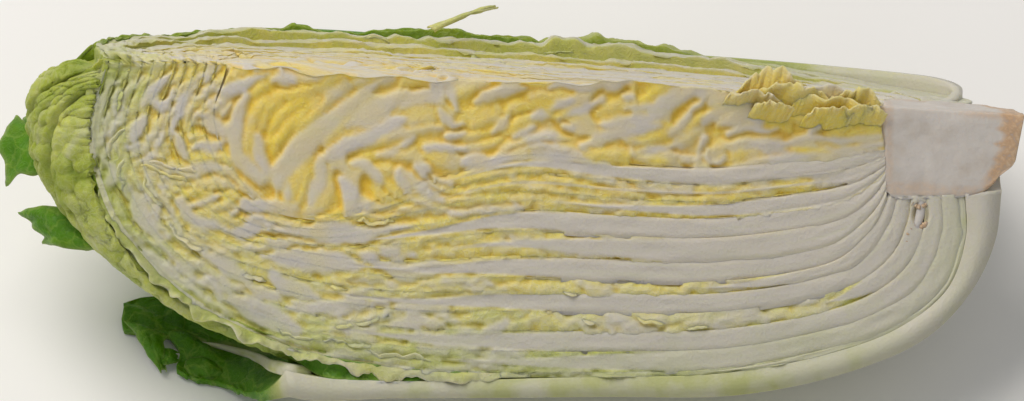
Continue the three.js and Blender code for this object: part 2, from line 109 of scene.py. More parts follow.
# Each leaf from the heart outwards: its lower and upper level at the front and at the
# rear, how much of it is rib at the front and rear, the station where its rib ends, how
# proud its rear edge is, and up to which station a thin leaf is thick beside the core.
Leaf = namedtuple("Leaf", "name front rear rib rib_end proud core_side")
LEAVES = [
    Leaf("leaf_13", (0.00, 0.075), (0.00, 0.05), (0.9, 0.1), 8, 0.4, 0),
    Leaf("leaf_12", (0.075, 0.15), (0.05, 0.14), (0.1, 0.9), 9, 0.8, 3.6),
    Leaf("leaf_11", (0.15, 0.225), (0.14, 0.20), (0.9, 0.3), 7, 0.4, 0),
    Leaf("leaf_10", (0.225, 0.31), (0.20, 0.30), (1.0, 0.8), 9, 0.6, 0),
    Leaf("leaf_09", (0.31, 0.415), (0.30, 0.37), (1.0, 0.2), 8, 0.4, 0),
    Leaf("leaf_08", (0.415, 0.503), (0.37, 0.48), (1.0, 0.9), 9, 0.9, 0),
    Leaf("leaf_07", (0.503, 0.572), (0.48, 0.58), (0.0, 0.9), 8, 0.5, 5.2),
    Leaf("leaf_06", (0.572, 0.675), (0.58, 0.65), (1.0, 0.1), 9, 1.2, 0),
    Leaf("leaf_05", (0.675, 0.775), (0.65, 0.76), (0.0, 1.0), 8, 1.0, 3.9),
    Leaf("leaf_04", (0.775, 0.882), (0.76, 0.85), (1.0, 0.0), 9, 3.0, 0),
    Leaf("leaf_03", (0.882, 0.992), (0.85, 0.99), (1.0, 0.3), 8, 5.5, 0),
    Leaf("leaf_02", (0.992, 1.15), (0.99, 1.64), (0.1, 1.0), 6, 6.5, 5.3),
]
EVEN_FROM = (7, 9.5)               # the stations over which the leaves come to share evenly
EVEN_LEVEL = 1.06                  # and the level up to which they do
WRAPPER = len(LEAVES) - 1          # index of the wrapper leaf, and of the one under it
UNDER_WRAPPER = WRAPPER - 1
HEART = -1


def smooth(low, high, value):
    share = np.clip((value - low) / (high - low), 0, 1)
    return share * share * (3 - 2 * share)


def mix(a, b, share):
    return a + (b - a) * share


def stacked(*parts):
    """Values side by side on a last axis, each spread to the shape of the others."""
    return np.stack(np.broadcast_arrays(*parts), -1)


def curve_points(points, count):
    """A centripetal curve through points, at equal steps from one point to the next."""
    p = np.array(points, float)
    p = np.vstack([2 * p[0] - p[1], p, 2 * p[-1] - p[-2]])
    t = np.linspace(0, len(points) - 1, count)
    k = np.minimum(t.astype(int), len(points) - 2)
    w = (t - k)[:, None]
    x0, x1, x2, x3 = p[k], p[k + 1], p[k + 2], p[k + 3]
    d0, d1, d2 = (np.maximum(((b - a) ** 2).sum(1), 1e-9)[:, None] ** 0.25
                  for a, b in ((x0, x1), (x1, x2), (x2, x3)))
    t1 = ((x1 - x0) / d0 - (x2 - x0) / (d0 + d1) + (x2 - x1) / d1) * d1
    t2 = ((x2 - x1) / d1 - (x3 - x1) / (d1 + d2) + (x3 - x2) / d2) * d1
    return x1 + t1 * w + (3 * (x2 - x1) - 2 * t1 - t2) * w ** 2 + (2 * (x1 - x2) + t1 + t2) * w ** 3


def resample(path, step):
    """Points at even steps along a path, and how far along it each one lies."""
    path = np.asarray(path, float)
    length = np.concatenate([[0], np.cumsum(np.hypot(*np.diff(path, axis=0).T))])
    count = max(4, int(length[-1] / step))
    at = np.linspace(0, length[-1], count)
    return np.stack([np.interp(at, length, path[:, k]) for k in (0, 1)], 1), at


def through(path, count, step):
    """The same along a curve through the spots of a path, each (x, y, width)."""
    return resample(curve_points([spot[:2] for spot in path], count), step)


def widths_along(path, count):
    """The widths of a path's spots, spread over so many points."""
    return np.interp(np.linspace(0, len(path) - 1, count), np.arange(len(path)),
                     [spot[2] for spot in path])


def normals_of_line(points):
    """Unit vectors square to a line of points."""
    step = np.gradient(points, axis=0)
    length = np.hypot(step[:, 0], step[:, 1])[:, None] + 1e-6
    return np.stack([-step[:, 1], step[:, 0]], 1) / length


def normals_of_grid(grid):
    """Unit vectors square to a grid of points."""
    normal = np.cross(np.gradient(grid, axis=0), np.gradient(grid, axis=1))
    return normal / (np.linalg.norm(normal, axis=-1, keepdims=True) + 1e-9)


PER_STATION = 100                  # steps of a guide from one station to the next
PAST_LAST = 40                     # steps by which the guides run on to the cut edge


def guide_table(line):
    points = curve_points(line, STATIONS * PER_STATION + 1)
    step = points[-1] - points[-2]
    return np.vstack([points, points[-1] + step * np.arange(1, PAST_LAST + 1)[:, None]])


GUIDES = np.stack([guide_table(line) for line in
                   (SPINE_LINE, HEART_LINE, MIDDLE_LINE, HEAD_LINE, WRAP_LINE)])
GUIDE_STEPS = GUIDES.shape[1]


def guide_point(level, station):
    """The point of the cut face at a level and station: along and out."""
    level, station = np.broadcast_arrays(np.asarray(level, float), np.asarray(station, float))
    at = np.clip(station * PER_STATION, 0, GUIDE_STEPS - 1)
    low = np.minimum(at.astype(int), GUIDE_STEPS - 2)
    part = (at - low)[..., None]
    upper = np.clip(np.searchsorted(GUIDE_LEVELS, level), 1, len(GUIDE_LEVELS) - 1)
    share = ((level - GUIDE_LEVELS[upper - 1])
             / (GUIDE_LEVELS[upper] - GUIDE_LEVELS[upper - 1]))[..., None]
    inner = mix(GUIDES[upper - 1, low], GUIDES[upper - 1, low + 1], part)
    outer = mix(GUIDES[upper, low], GUIDES[upper, low + 1], part)
    point = mix(inner, outer, share)
    return point[..., 0], point[..., 1]


def place(along, out, angle):
    """A point given along the head, out from the cut edge and by its angle."""
    turn = QUARTER / 2 + angle
    return stacked(along, -out * np.cos(turn), EDGE_HEIGHT - EDGE_SLOPE * along - out * np.sin(turn))


SWELL_TOP = 3.8                    # how high the heart swells up along the cut edge,
SWELL_MIDDLE = 24                  # where along the head,
SWELL_LONG = 38                    # how long,
SWELL_OUT = 22                     # and how far out from the edge


def swell(along, out):
    """How far the heart swells up out of the cut near the cut edge."""
    near = np.exp(-((along - SWELL_MIDDLE) / SWELL_LONG) ** 2)
    return SWELL_TOP * near * (1 - np.clip(out / SWELL_OUT, 0, 1)) ** 2


RAGGED_OUT = 3.2                   # how far out the faces follow the ragged cut edge,
RAGGED_ENDS = (93, 86)             # and where along the head it turns ragged


def ragged(along, out):
    """How the cut edge wanders, aside and up, and the faces with it for a few millimetres."""
    share = np.exp(-(out / RAGGED_OUT) ** 2) * smooth(*RAGGED_ENDS, along)
    aside = 1.5 * noise(along / 9, 2.2) + 0.5 * noise(along / 3.6, 5.2)
    up = 0.9 * noise(along / 8, 7.7) + 0.4 * noise(along / 3.1, 1.6)
    return share * aside, share * up + swell(along, out)


def on_face(face, along, out, height):
    """A point of the front (0) or rear (1) cut face, and height above it."""
    side = 2 * face - 1
    root = math.sqrt(0.5)
    aside, up = ragged(along, out)
    return stacked(along, side * (out + height) * root + aside,
                   EDGE_HEIGHT - EDGE_SLOPE * along - (out - height) * root + up)


def bulge(level, station, angle, out):
    """How far the closed tip bulges out between the two cuts, along the head."""
    start, full, end = TIP_BULGE_STATIONS
    along = smooth(start, full, station) * (1 - smooth(full, end, station))
    inside = np.minimum(angle, QUARTER - angle) - BULGE_DEPTH / np.maximum(out, 5)
    return (TIP_BULGE * along * np.clip(level, 0, 1)
            * np.sqrt(np.maximum(0, np.sin(2 * np.clip(inside, 0, QUARTER / 2)))))


# ---- Noise -------------------------------------------------------------------

LATTICE = np.random.default_rng(41).random((64, 64, 64))


def noise(x, y, z=0.0):
    """Smooth noise from -1 to 1, one bump a unit."""
    x, y, z = np.broadcast_arrays(np.asarray(x, float), np.asarray(y, float), np.asarray(z, float))
    total = 0
    cell = [np.floor(v).astype(int) for v in (x, y, z)]
    part = [v - c for v, c in zip((x, y, z), cell)]
    ease = [p * p * (3 - 2 * p) for p in part]
    for i in (0, 1):
        for j in (0, 1):
            for k in (0, 1):
                weight = ((ease[0] if i else 1 - ease[0]) * (ease[1] if j else 1 - ease[1])
                          * (ease[2] if k else 1 - ease[2]))
                total = total + weight * LATTICE[(cell[0] + i) % 64, (cell[1] + j) % 64,
                                                 (cell[2] + k) % 64]
    return total * 2 - 1


def blisters(x, y, seed):
    """Domes with creases between them, from 0 to 1, about one a unit."""
    cell_x, cell_y = np.floor(x).astype(int), np.floor(y).astype(int)
    nearest = np.full(np.shape(x), 9.0)
    for i in (-1, 0, 1):
        for j in (-1, 0, 1):
            px = cell_x + i + LATTICE[(cell_x + i) % 64, (cell_y + j) % 64, seed % 64]
            py = cell_y + j + LATTICE[(cell_x + i) % 64, (cell_y + j) % 64, (seed + 7) % 64]
            nearest = np.minimum(nearest, (x - px) ** 2 + (y - py) ** 2)
    return np.sqrt(np.clip(1 - nearest / 0.55, 0, 1))


# ---- Meshes ------------------------------------------------------------------

FIELDS = ("rib", "tone", "painted_shade_and_browning")   # 1 on ribs; 0 heart yellow to 1 green; painted shade, 1 in crevices, and on the core how far it has browned


class Flesh:
    """Gathers points, faces and their fields for one piece."""

    def __init__(self):
        self.points, self.faces, self.fields, self.flow, self.sharp = [], [], [], [], []
        self.count = 0

    def add(self, points, faces, rib, tone, painted_shade_and_browning, flow, creases=()):
        """Creases are the columns of points along which the surface turns sharply."""
        rows, size = points.shape[:2]
        points = points.reshape(-1, 3)
        n = len(points)
        for column in creases:
            chain = np.arange(rows) * size + column + self.count
            self.sharp.append(np.stack([chain[:-1], chain[1:]], 1))
        a, b, c, d = (points[faces[:, k]] for k in range(4))
        volume = np.sum(a * (np.cross(b, c) + np.cross(c, d)))
        self.points.append(points)
        self.faces.append((faces if volume > 0 else faces[:, ::-1]) + self.count)
        self.fields.append(np.stack([np.broadcast_to(np.asarray(f, float).reshape(-1), (n,))
                                     for f in (rib, tone, painted_shade_and_browning)], 1))
        self.flow.append(np.broadcast_to(flow.reshape(-1, 3), (n, 3)))
        self.count += n

    def build(self, name, material, node, slot):
        """Makes the mesh of a piece, which takes the place of one node."""
        quads = np.concatenate(self.faces)
        mesh = bpy.data.meshes.new(name)
        points = np.concatenate(self.points) * MM
        mesh.vertices.add(len(points))
        mesh.vertices.foreach_set("co", points.astype(np.float32).ravel())
        mesh.loops.add(quads.size)
        mesh.loops.foreach_set("vertex_index", quads.astype(np.int32).ravel())
        mesh.polygons.add(len(quads))
        mesh.polygons.foreach_set("loop_start", np.arange(0, quads.size, 4, dtype=np.int32))
        mesh.polygons.foreach_set("use_smooth", np.ones(len(quads), bool))
        mesh.update(calc_edges=True)
        if self.sharp:
            pairs = np.zeros(2 * len(mesh.edges), np.int32)
            mesh.edges.foreach_get("vertices", pairs)
            pairs = np.sort(pairs.reshape(-1, 2), axis=1).astype(np.int64)
            chain = np.sort(np.concatenate(self.sharp), axis=1).astype(np.int64)
            is_sharp = np.isin(pairs[:, 0] * self.count + pairs[:, 1],
                               chain[:, 0] * self.count + chain[:, 1])
            mesh.attributes.new("sharp_edge", "BOOLEAN", "EDGE").data.foreach_set("value", is_sharp)
        fields = np.concatenate(self.fields).astype(np.float32)
        for index, field in enumerate(FIELDS):
            layer = mesh.attributes.new(field, "FLOAT", "POINT")
            layer.data.foreach_set("value", np.ascontiguousarray(fields[:, index]))
        layer = mesh.attributes.new("flow", "FLOAT_VECTOR", "POINT")
        layer.data.foreach_set("vector", np.concatenate(self.flow).astype(np.float32).ravel())
        mesh.materials.append(material)
        piece = bpy.data.objects.new(name, mesh)
        bpy.context.scene.collection.objects.link(piece)
        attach(piece, "root")
        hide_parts(node)
        return piece


def loop_faces(rows, size):
    """Quads between closed loops of points, with a fan of quads over both ends."""
    row, step = np.meshgrid(np.arange(rows - 1), np.arange(size), indexing="ij")
    a = row * size + step
    b = row * size + (step + 1) % size
    sides = np.stack([a, b, b + size, a + size], -1).reshape(-1, 4)
    half = size // 2
    k = np.arange(half - 1)
    first = np.stack([k, size - 1 - k, size - 2 - k, k + 1], -1)
    last = first[:, ::-1] + (rows - 1) * size
    return np.concatenate([sides, first, last])


# ---- Bodies of the head's leaves ---------------------------------------------

ROWS_PER_STATION = 18              # about 1.5 mm on the ribs
CRINKLE_ROWS = 42                  # and 0.7 mm on the crinkled blades
CRINKLE_FROM = 5                   # the station from which the rows lie that close
CUT_COLUMNS = 15                   # across a leaf's cut edge
OUTSIDE_COLUMNS = (26, 1.3)        # round half of an outside leaf, and how gathered they are
HIDDEN_COLUMNS = (6, 2.2)          # and of a leaf whose outside is hidden
LEAF_PAST = 0.24                   # stations by which a leaf runs past the last one,
WRAP_SHORT = 1.1                   # and by which the wrapper ends before it
LEAST_OUT = 0.3                    # mm from the cut edge, at least
TUCK = 0.6                         # mm by which a leaf's sides are tucked behind its cut edges
STAND_FADE = 14                    # how fast the outside falls back from a proud rear edge
SIDE_PAINTED_SHADE = 0.55                   # painted shade on the sides of a leaf that lie between two leaves
GROOVE_WIDE = 1.3                  # the groove beside a seam,
GROOVE_DEEP = 0.38
LIP_DOWN = 0.25                    # and how far the lip dips in it
LIP = 2                            # stands for the edge that slips under the next leaf
PIT = (103.2, 32)                  # along and out from the cut edge
PIT_SIZE = (2.4, 3.6)
PIT_DEEP = 2.2
BELLY = (10.6, 0.35)               # station and angle
BELLY_SIZE = (1.4, 0.3)
BELLY_OUT = 1.5
ROOT_TRIM = 8                      # how far the rear roots of the outer leaves are cut back
SEED_STEP = 9.7                    # keeps the noise of one leaf apart from the next one's


def leaf_room(index, station, angle):
    """The lower and the upper level of a leaf."""
    leaf = LEAVES[index]
    around = smooth(0, QUARTER, angle)
    even = smooth(*EVEN_FROM, station)
    return [mix(mix(leaf.front[side], leaf.rear[side], around),
                EVEN_LEVEL * (index + side) / len(LEAVES), even) for side in (0, 1)]


def rib_share(index, station, angle):
    """How much of its room a leaf's rib fills."""
    leaf = LEAVES[index]
    thick = mix(*leaf.rib, smooth(0, QUARTER, angle))
    thick = thick * (1 - smooth(leaf.rib_end - 3, leaf.rib_end, station))
    if not leaf.core_side:
        return thick
    return np.maximum(thick, 1 - smooth(leaf.core_side - 1.2, leaf.core_side, station))


def tone_of(level, station):
    """0 for heart yellow, rising to 1 for the green of the outer leaves."""
    base = np.interp(level, [-1, 0, 0.45, 0.75, 0.9, 1.0, 1.2], [0.0, 0.06, 0.2, 0.4, 0.5, 0.62, 0.85])
    return np.clip(base + 0.1 * smooth(9.5, 12.5, station) * smooth(0.2, 0.8, level), 0, 1)


def belly(station, angle):
    """How far the wrapper stands off the head at the lower side of its tip."""
    s, t = (station - BELLY[0]) / BELLY_SIZE[0], (angle - BELLY[1]) / BELLY_SIZE[1]
    return BELLY_OUT * np.exp(-s ** 2 - t ** 2)


def pit(along, out):
    """The hollow that shows in the front face where a bud has dried beside the core."""
    x, r = PIT
    return np.exp(-(((along - x) / PIT_SIZE[0]) ** 2 + ((out - r) / PIT_SIZE[1]) ** 2) ** 3)


def leaf_stations(wrap):
    """The rows along a leaf: coarse on its rib and fine on its crinkled blade."""
    last = STATIONS - WRAP_SHORT if wrap else STATIONS + LEAF_PAST
    return np.concatenate([
        np.linspace(0, CRINKLE_FROM, CRINKLE_FROM * ROWS_PER_STATION, endpoint=False),
        np.linspace(CRINKLE_FROM, last, int((last - CRINKLE_FROM) * CRINKLE_ROWS))])


def leaf_angles(outside):
    """The columns round the outside of a leaf, gathered towards the two cuts."""
    columns, gather = OUTSIDE_COLUMNS if outside else HIDDEN_COLUMNS
    half = QUARTER / 2 * np.linspace(0, 1, columns) ** gather
    return np.concatenate([half, QUARTER - half[-2::-1]])


def outer_skin(s, t, run, out, wrap):
    """How far the blisters stand out of an outside leaf, where it is blade."""
    around = t * np.maximum(out, 8)
    bare = smooth(7.6, 9.2, s + 3.4 * smooth(1.1, 1.5, t) + 1.6 * noise(run / 30, t * 2, 3.3))
    skin = bare * (1.5 * blisters(run / 7, around / 7, 5) + 1.3 * blisters(run / 3.8, around / 3.8, 9))
    skin = skin * smooth(0, 0.08, t) * smooth(0, 0.02, QUARTER - t)
    return skin + belly(s, t) if wrap else 0.7 * skin


def rear_stand(index, stations, run, along):
    """How far a leaf's cut edge stands out of the rear face, all along it."""
    seed = index * SEED_STEP
    stand = smooth(2.5, 6.5, stations) * LEAVES[index].proud
    stand = stand * (0.8 + 0.2 * noise(run / 12, seed + 5) + 0.12 * noise(run / 3.5, seed + 6))
    if index >= UNDER_WRAPPER:
        stand = stand * (1 + 0.5 * np.exp(-(along / 55) ** 2) - 0.5 * smooth(-105, -130, along))
    return stand


def outside_colours(rib, tone, s, t, run, wrap):
    """Rib and tone of the two outside leaves, which are green where light reached them."""
    size = s.shape[1]
    step = np.arange(size)[None, :]
    skin = step < (size - 2 * CUT_COLUMNS) // 2
    green = smooth(6.6, 9.2, s + 2.4 * smooth(1.0, 1.5, t) + 0.8 * noise(run / 25, t * 3, 7.1))
    leafy = np.clip(mix(0.62, 0.88, green) + 0.06 * noise(run / 14, t * 5, 2.2), 0, 1)
    tone = np.where(skin | wrap, leafy, tone)
    rib = np.where(skin | wrap, rib * (1 - green), rib)
    if wrap:
        front_edge = step >= size - CUT_COLUMNS
        pale = 0.72 + 0.2 * noise(run / 9, step / 5, 4.4)
        rib = np.where(front_edge, np.maximum(rib, pale), rib)
        return rib, np.where(front_edge, np.minimum(tone, mix(0.62, 0.5, smooth(6, 9, s))), tone)
    streak = np.abs(noise(t * 9 + 0.2 * s, run / 60, 6.1))
    tip = smooth(9.5, 11, s) * skin
    return np.maximum(rib, 0.7 * tip * (1 - smooth(0.03, 0.16, streak))), tone - 0.2 * tip


def leaf_body(flesh, index, reliefs):
    """One leaf of the head: a slab between two levels, with relief on its two cut edges."""
    wrap = index == WRAPPER
    outside = index >= UNDER_WRAPPER
    seed = index * SEED_STEP
    stations, angles = leaf_stations(wrap), leaf_angles(outside)
    s, t = np.meshgrid(stations, angles, indexing="ij")
    low, high = leaf_room(index, s, t)
    inner_x, inner_r = guide_point(low, s)
    outer_x, outer_r = guide_point(high, s)
    shift = bulge(high, s, t, outer_r)
    if wrap:
        shift = shift + ROOT_TRIM * (1 - smooth(0, 1.6, s)) * smooth(0.9, QUARTER, t)
    span = np.hypot(outer_x - inner_x, outer_r - inner_r)
    run = np.cumsum(np.hypot(*np.gradient(np.stack([inner_x[:, 0], inner_r[:, 0]]), axis=1)))
    skin = outer_skin(s, t, run[:, None], inner_r, wrap) if outside else 0 * s
    stand = rear_stand(index, stations, run, inner_x[:, -1])
    lift = stand[:, None] * np.exp(-(QUARTER - angles) * STAND_FADE)
    lift[:, 0] += TUCK
    lift[:, -1] -= TUCK

    def side(part):
        """A side of the slab, at a share of its thickness."""
        out = np.maximum(mix(inner_r, outer_r, part), LEAST_OUT)
        lean = lift * smooth(0, 8, out) / np.maximum(out, 10)
        return place(mix(inner_x, outer_x, part) - shift, out, t + lean)

    def cut(face):
        """The cut edge across the leaf: its points, rib field and painted shade field."""
        column = -face
        thick = span[:, column]
        share_rib = rib_share(index, stations, face * QUARTER)
        points, ribs, painted_shades = [], [], []
        for u in [*np.linspace(0, 1, CUT_COLUMNS - 1), LIP]:
            lip = u == LIP
            u = min(u, 1)
            part = u + (0 if wrap else lip / np.maximum(thick, 0.5))
            out = np.maximum(mix(inner_r[:, column], outer_r[:, column], part), LEAST_OUT)
            along = mix(inner_x[:, column], outer_x[:, column], part) - shift[:, column]
            crumple, white, painted_shade_and_browning = reliefs[face].sample(along, out)
            solid = smooth(-0.12, 0.12, share_rib - np.abs(2 * u - 1))
            solid = np.where(share_rib > 0.93, 1.0, solid)
            groove = 1 - np.clip(min(u, 1 - u) * thick / GROOVE_WIDE, 0, 1) ** 0.6
            plateau = (0.4 * noise(run / 45, seed + 2.5) + 0.25 * noise(run / 11, u * 2, seed)
                       - GROOVE_DEEP * groove + 0.12 * noise(run / 4, u * 4, seed))
            height = mix(crumple, plateau, solid) * smooth(0.2, 3, out)
            hollow = 0 if face else pit(along, out)
            points.append(on_face(face, along, out,
                                  face * stand + height - PIT_DEEP * hollow - LIP_DOWN * lip))
            ribs.append(mix(white, 1.0, solid))
            # Painted shade: the relief's crevice shade, a little in the groove beside a seam, and more in
            # the bud's hollow.
            painted_shades.append(np.maximum(mix(painted_shade_and_browning, 0.15 * groove, solid), 0.6 * hollow))
        return [np.stack(part, 1) for part in (points, ribs, painted_shades)]

    n = len(angles)
    front_cut, front_rib, front_painted_shade = cut(0)
    rear_cut, rear_rib, rear_painted_shade = cut(1)
    gap = 0.5 * SEAM / np.maximum(span, 0.5)
    outer, inner = side(1 - gap + skin / span), side(gap)
    loop = np.concatenate([outer, rear_cut[:, ::-1], inner[:, ::-1], front_cut], 1)
    size = loop.shape[1]
    order = [*range(n)] + [n - 1] * CUT_COLUMNS + [*range(n)][::-1] + [0] * CUT_COLUMNS
    tone = tone_of((low + high)[:, order] / 2, s[:, order])
    side_rib = rib_share(index, s, t)
    rib = np.concatenate([side_rib, rear_rib[:, ::-1], side_rib[:, ::-1], front_rib], 1)
    # Painted shade on the sides that lie between leaves, and on an outside leaf's blade in the creases
    # between its blisters.
    outer_painted_shade = inner_painted_shade = np.full(s.shape, SIDE_PAINTED_SHADE)
    if outside:
        rib, tone = outside_colours(rib, tone, s[:, order], t[:, order], run[:, None], wrap)
        outer_painted_shade = (0.7 * (1 - np.clip(skin / 1.6, 0, 1)) * smooth(8, 9.5, s)
                      * smooth(0.03, 0.12, t) * smooth(0.03, 0.12, QUARTER - t))
    painted_shade_and_browning = np.concatenate([outer_painted_shade, rear_painted_shade[:, ::-1], inner_painted_shade, front_painted_shade], 1)
    flow = stacked(run[:, None], np.arange(size)[None, :] * 0.6, seed)
    creases = (n, n + CUT_COLUMNS - 1, 2 * n + CUT_COLUMNS, size - 1)
    flesh.add(loop, loop_faces(len(stations), size), rib, tone, np.clip(painted_shade_and_browning, 0, 1), flow, creases)


# ---- Ribbons: cut leaf edges in a cut face -----------------------------------

# Across a ribbon: side in half widths, height as a share of its top.
BLADE_PROFILE = [(-1, None), (-1, -0.5), (-0.9, 0.55), (-0.35, 1.0),
                 (0.35, 1.0), (0.9, 0.55), (1, -0.5), (1, None)]


def ribbon(flesh, face, path, width, top, root, lean, rib, tone, seed, profile, base=0.0, painted_shade_and_browning=None):
    """A leaf edge along a path of face points. Width, top and lean may be arrays."""
    path = np.asarray(path, float)
    step = np.gradient(path, axis=0)
    normal = normals_of_line(path)
    run = np.cumsum(np.hypot(step[:, 0], step[:, 1]) + 1e-6)
    n = len(path)
    width, top, lean, base = (np.broadcast_to(np.asarray(v, float), (n,)) for v in (width, top, lean, base))
    rows = []
    heights = []
    for side, share in profile:
        height = np.full(n, -root) if share is None else np.where(share > 0, top * share, share * root * 0.6)
        across = side * width / 2 + lean * (height + root)
        spot = path + normal * across[:, None]
        rows.append(on_face(face, spot[:, 0], spot[:, 1], base + height))
        heights.append(height)
    loop = np.stack(rows, 1)
    heights = np.stack(heights, 1)
    size = len(profile)
    # Painted shade: unless one is given, the colour darkens down the ribbon's sides, the further below its
    # top.
    if painted_shade_and_browning is None:
        painted_shade_and_browning = np.clip((0.6 * top[:, None] - heights) / 4.5, 0, 1)
    flow = stacked(run[:, None], np.arange(size)[None, :] * 0.8, seed)
    crest = np.clip(heights / np.maximum(top[:, None], 0.3), 0, 1)
    flesh.add(loop, loop_faces(n, size), np.clip(rib * (0.65 + 0.35 * crest), 0, 1), tone, painted_shade_and_browning, flow)


def unit_grid(rows, columns):
    """Shares from 0 to 1 along the rows and across the columns of a grid."""
    return np.meshgrid(np.linspace(0, 1, rows), np.linspace(0, 1, columns), indexing="ij")


def sheet(flesh, grid, thick, rib, tone, painted_shade_and_browning, seed):
    """A piece of thin blade: a grid of middle points given a thickness."""
    rows, columns = grid.shape[:2]
    normal = normals_of_grid(grid)
    u = np.linspace(0, 1, rows)[:, None]
    v = np.linspace(0, 1, columns)[None, :]
    rim = np.clip(np.minimum(np.minimum(v, 1 - v) * 8, (1 - u) * 8), 0, 1)
    half = thick * (0.35 + 0.65 * rim)[..., None] / 2
    loop = np.concatenate([grid + normal * half, (grid - normal * half)[:, ::-1]], 1)
    fields = (np.broadcast_to(np.asarray(part, float), (rows, columns))
              for part in (np.maximum(rib, 0.4 * (1 - rim) ** 2), tone, painted_shade_and_browning))
    both = [np.concatenate([field, field[:, ::-1]], 1) for field in fields]
    flow = stacked(u * rows, np.arange(2 * columns)[None, :] * 0.7, seed)
    flesh.add(loop, loop_faces(rows, 2 * columns), *both, flow)


def scrap(flesh, corners, bow, seed, tone, rib=0.0, lobes=0.18, shape=(22, 18)):
    """A torn piece between four corners (two at its root, two at its tip), bowed and blistered."""
    u, v = unit_grid(*shape)
    reach = u * (1 + lobes * noise(v * 4.3, seed) * u)
    side = v + lobes * 0.6 * noise(u * 4.1, seed + 3.3) * (2 * v - 1)
    a, b, c, d = (np.array(corner, float) for corner in corners)
    grid = mix(mix(a, b, side[..., None]), mix(d, c, side[..., None]), reach[..., None])
    up = np.cross(d - a, b - a)
    up /= np.linalg.norm(up)
    up = up if up[2] > 0 else -up
    size = max(np.linalg.norm(d - a), np.linalg.norm(b - a))
    ripple = 0.06 * size * noise(u * 3.1, v * 3.1, seed + 5)
    bump = 0.9 * blisters(u * size / 5, v * size / 5, 3)
    lift = bow * np.sin(math.pi * u) + 0.5 * bow * np.sin(math.pi * v) + ripple + bump
    # The blade takes painted shade in the creases between its blisters.
    sheet(flesh, grid + up * lift[..., None], 0.8, rib, tone, 0.35 * (1 - bump / 0.9), seed)


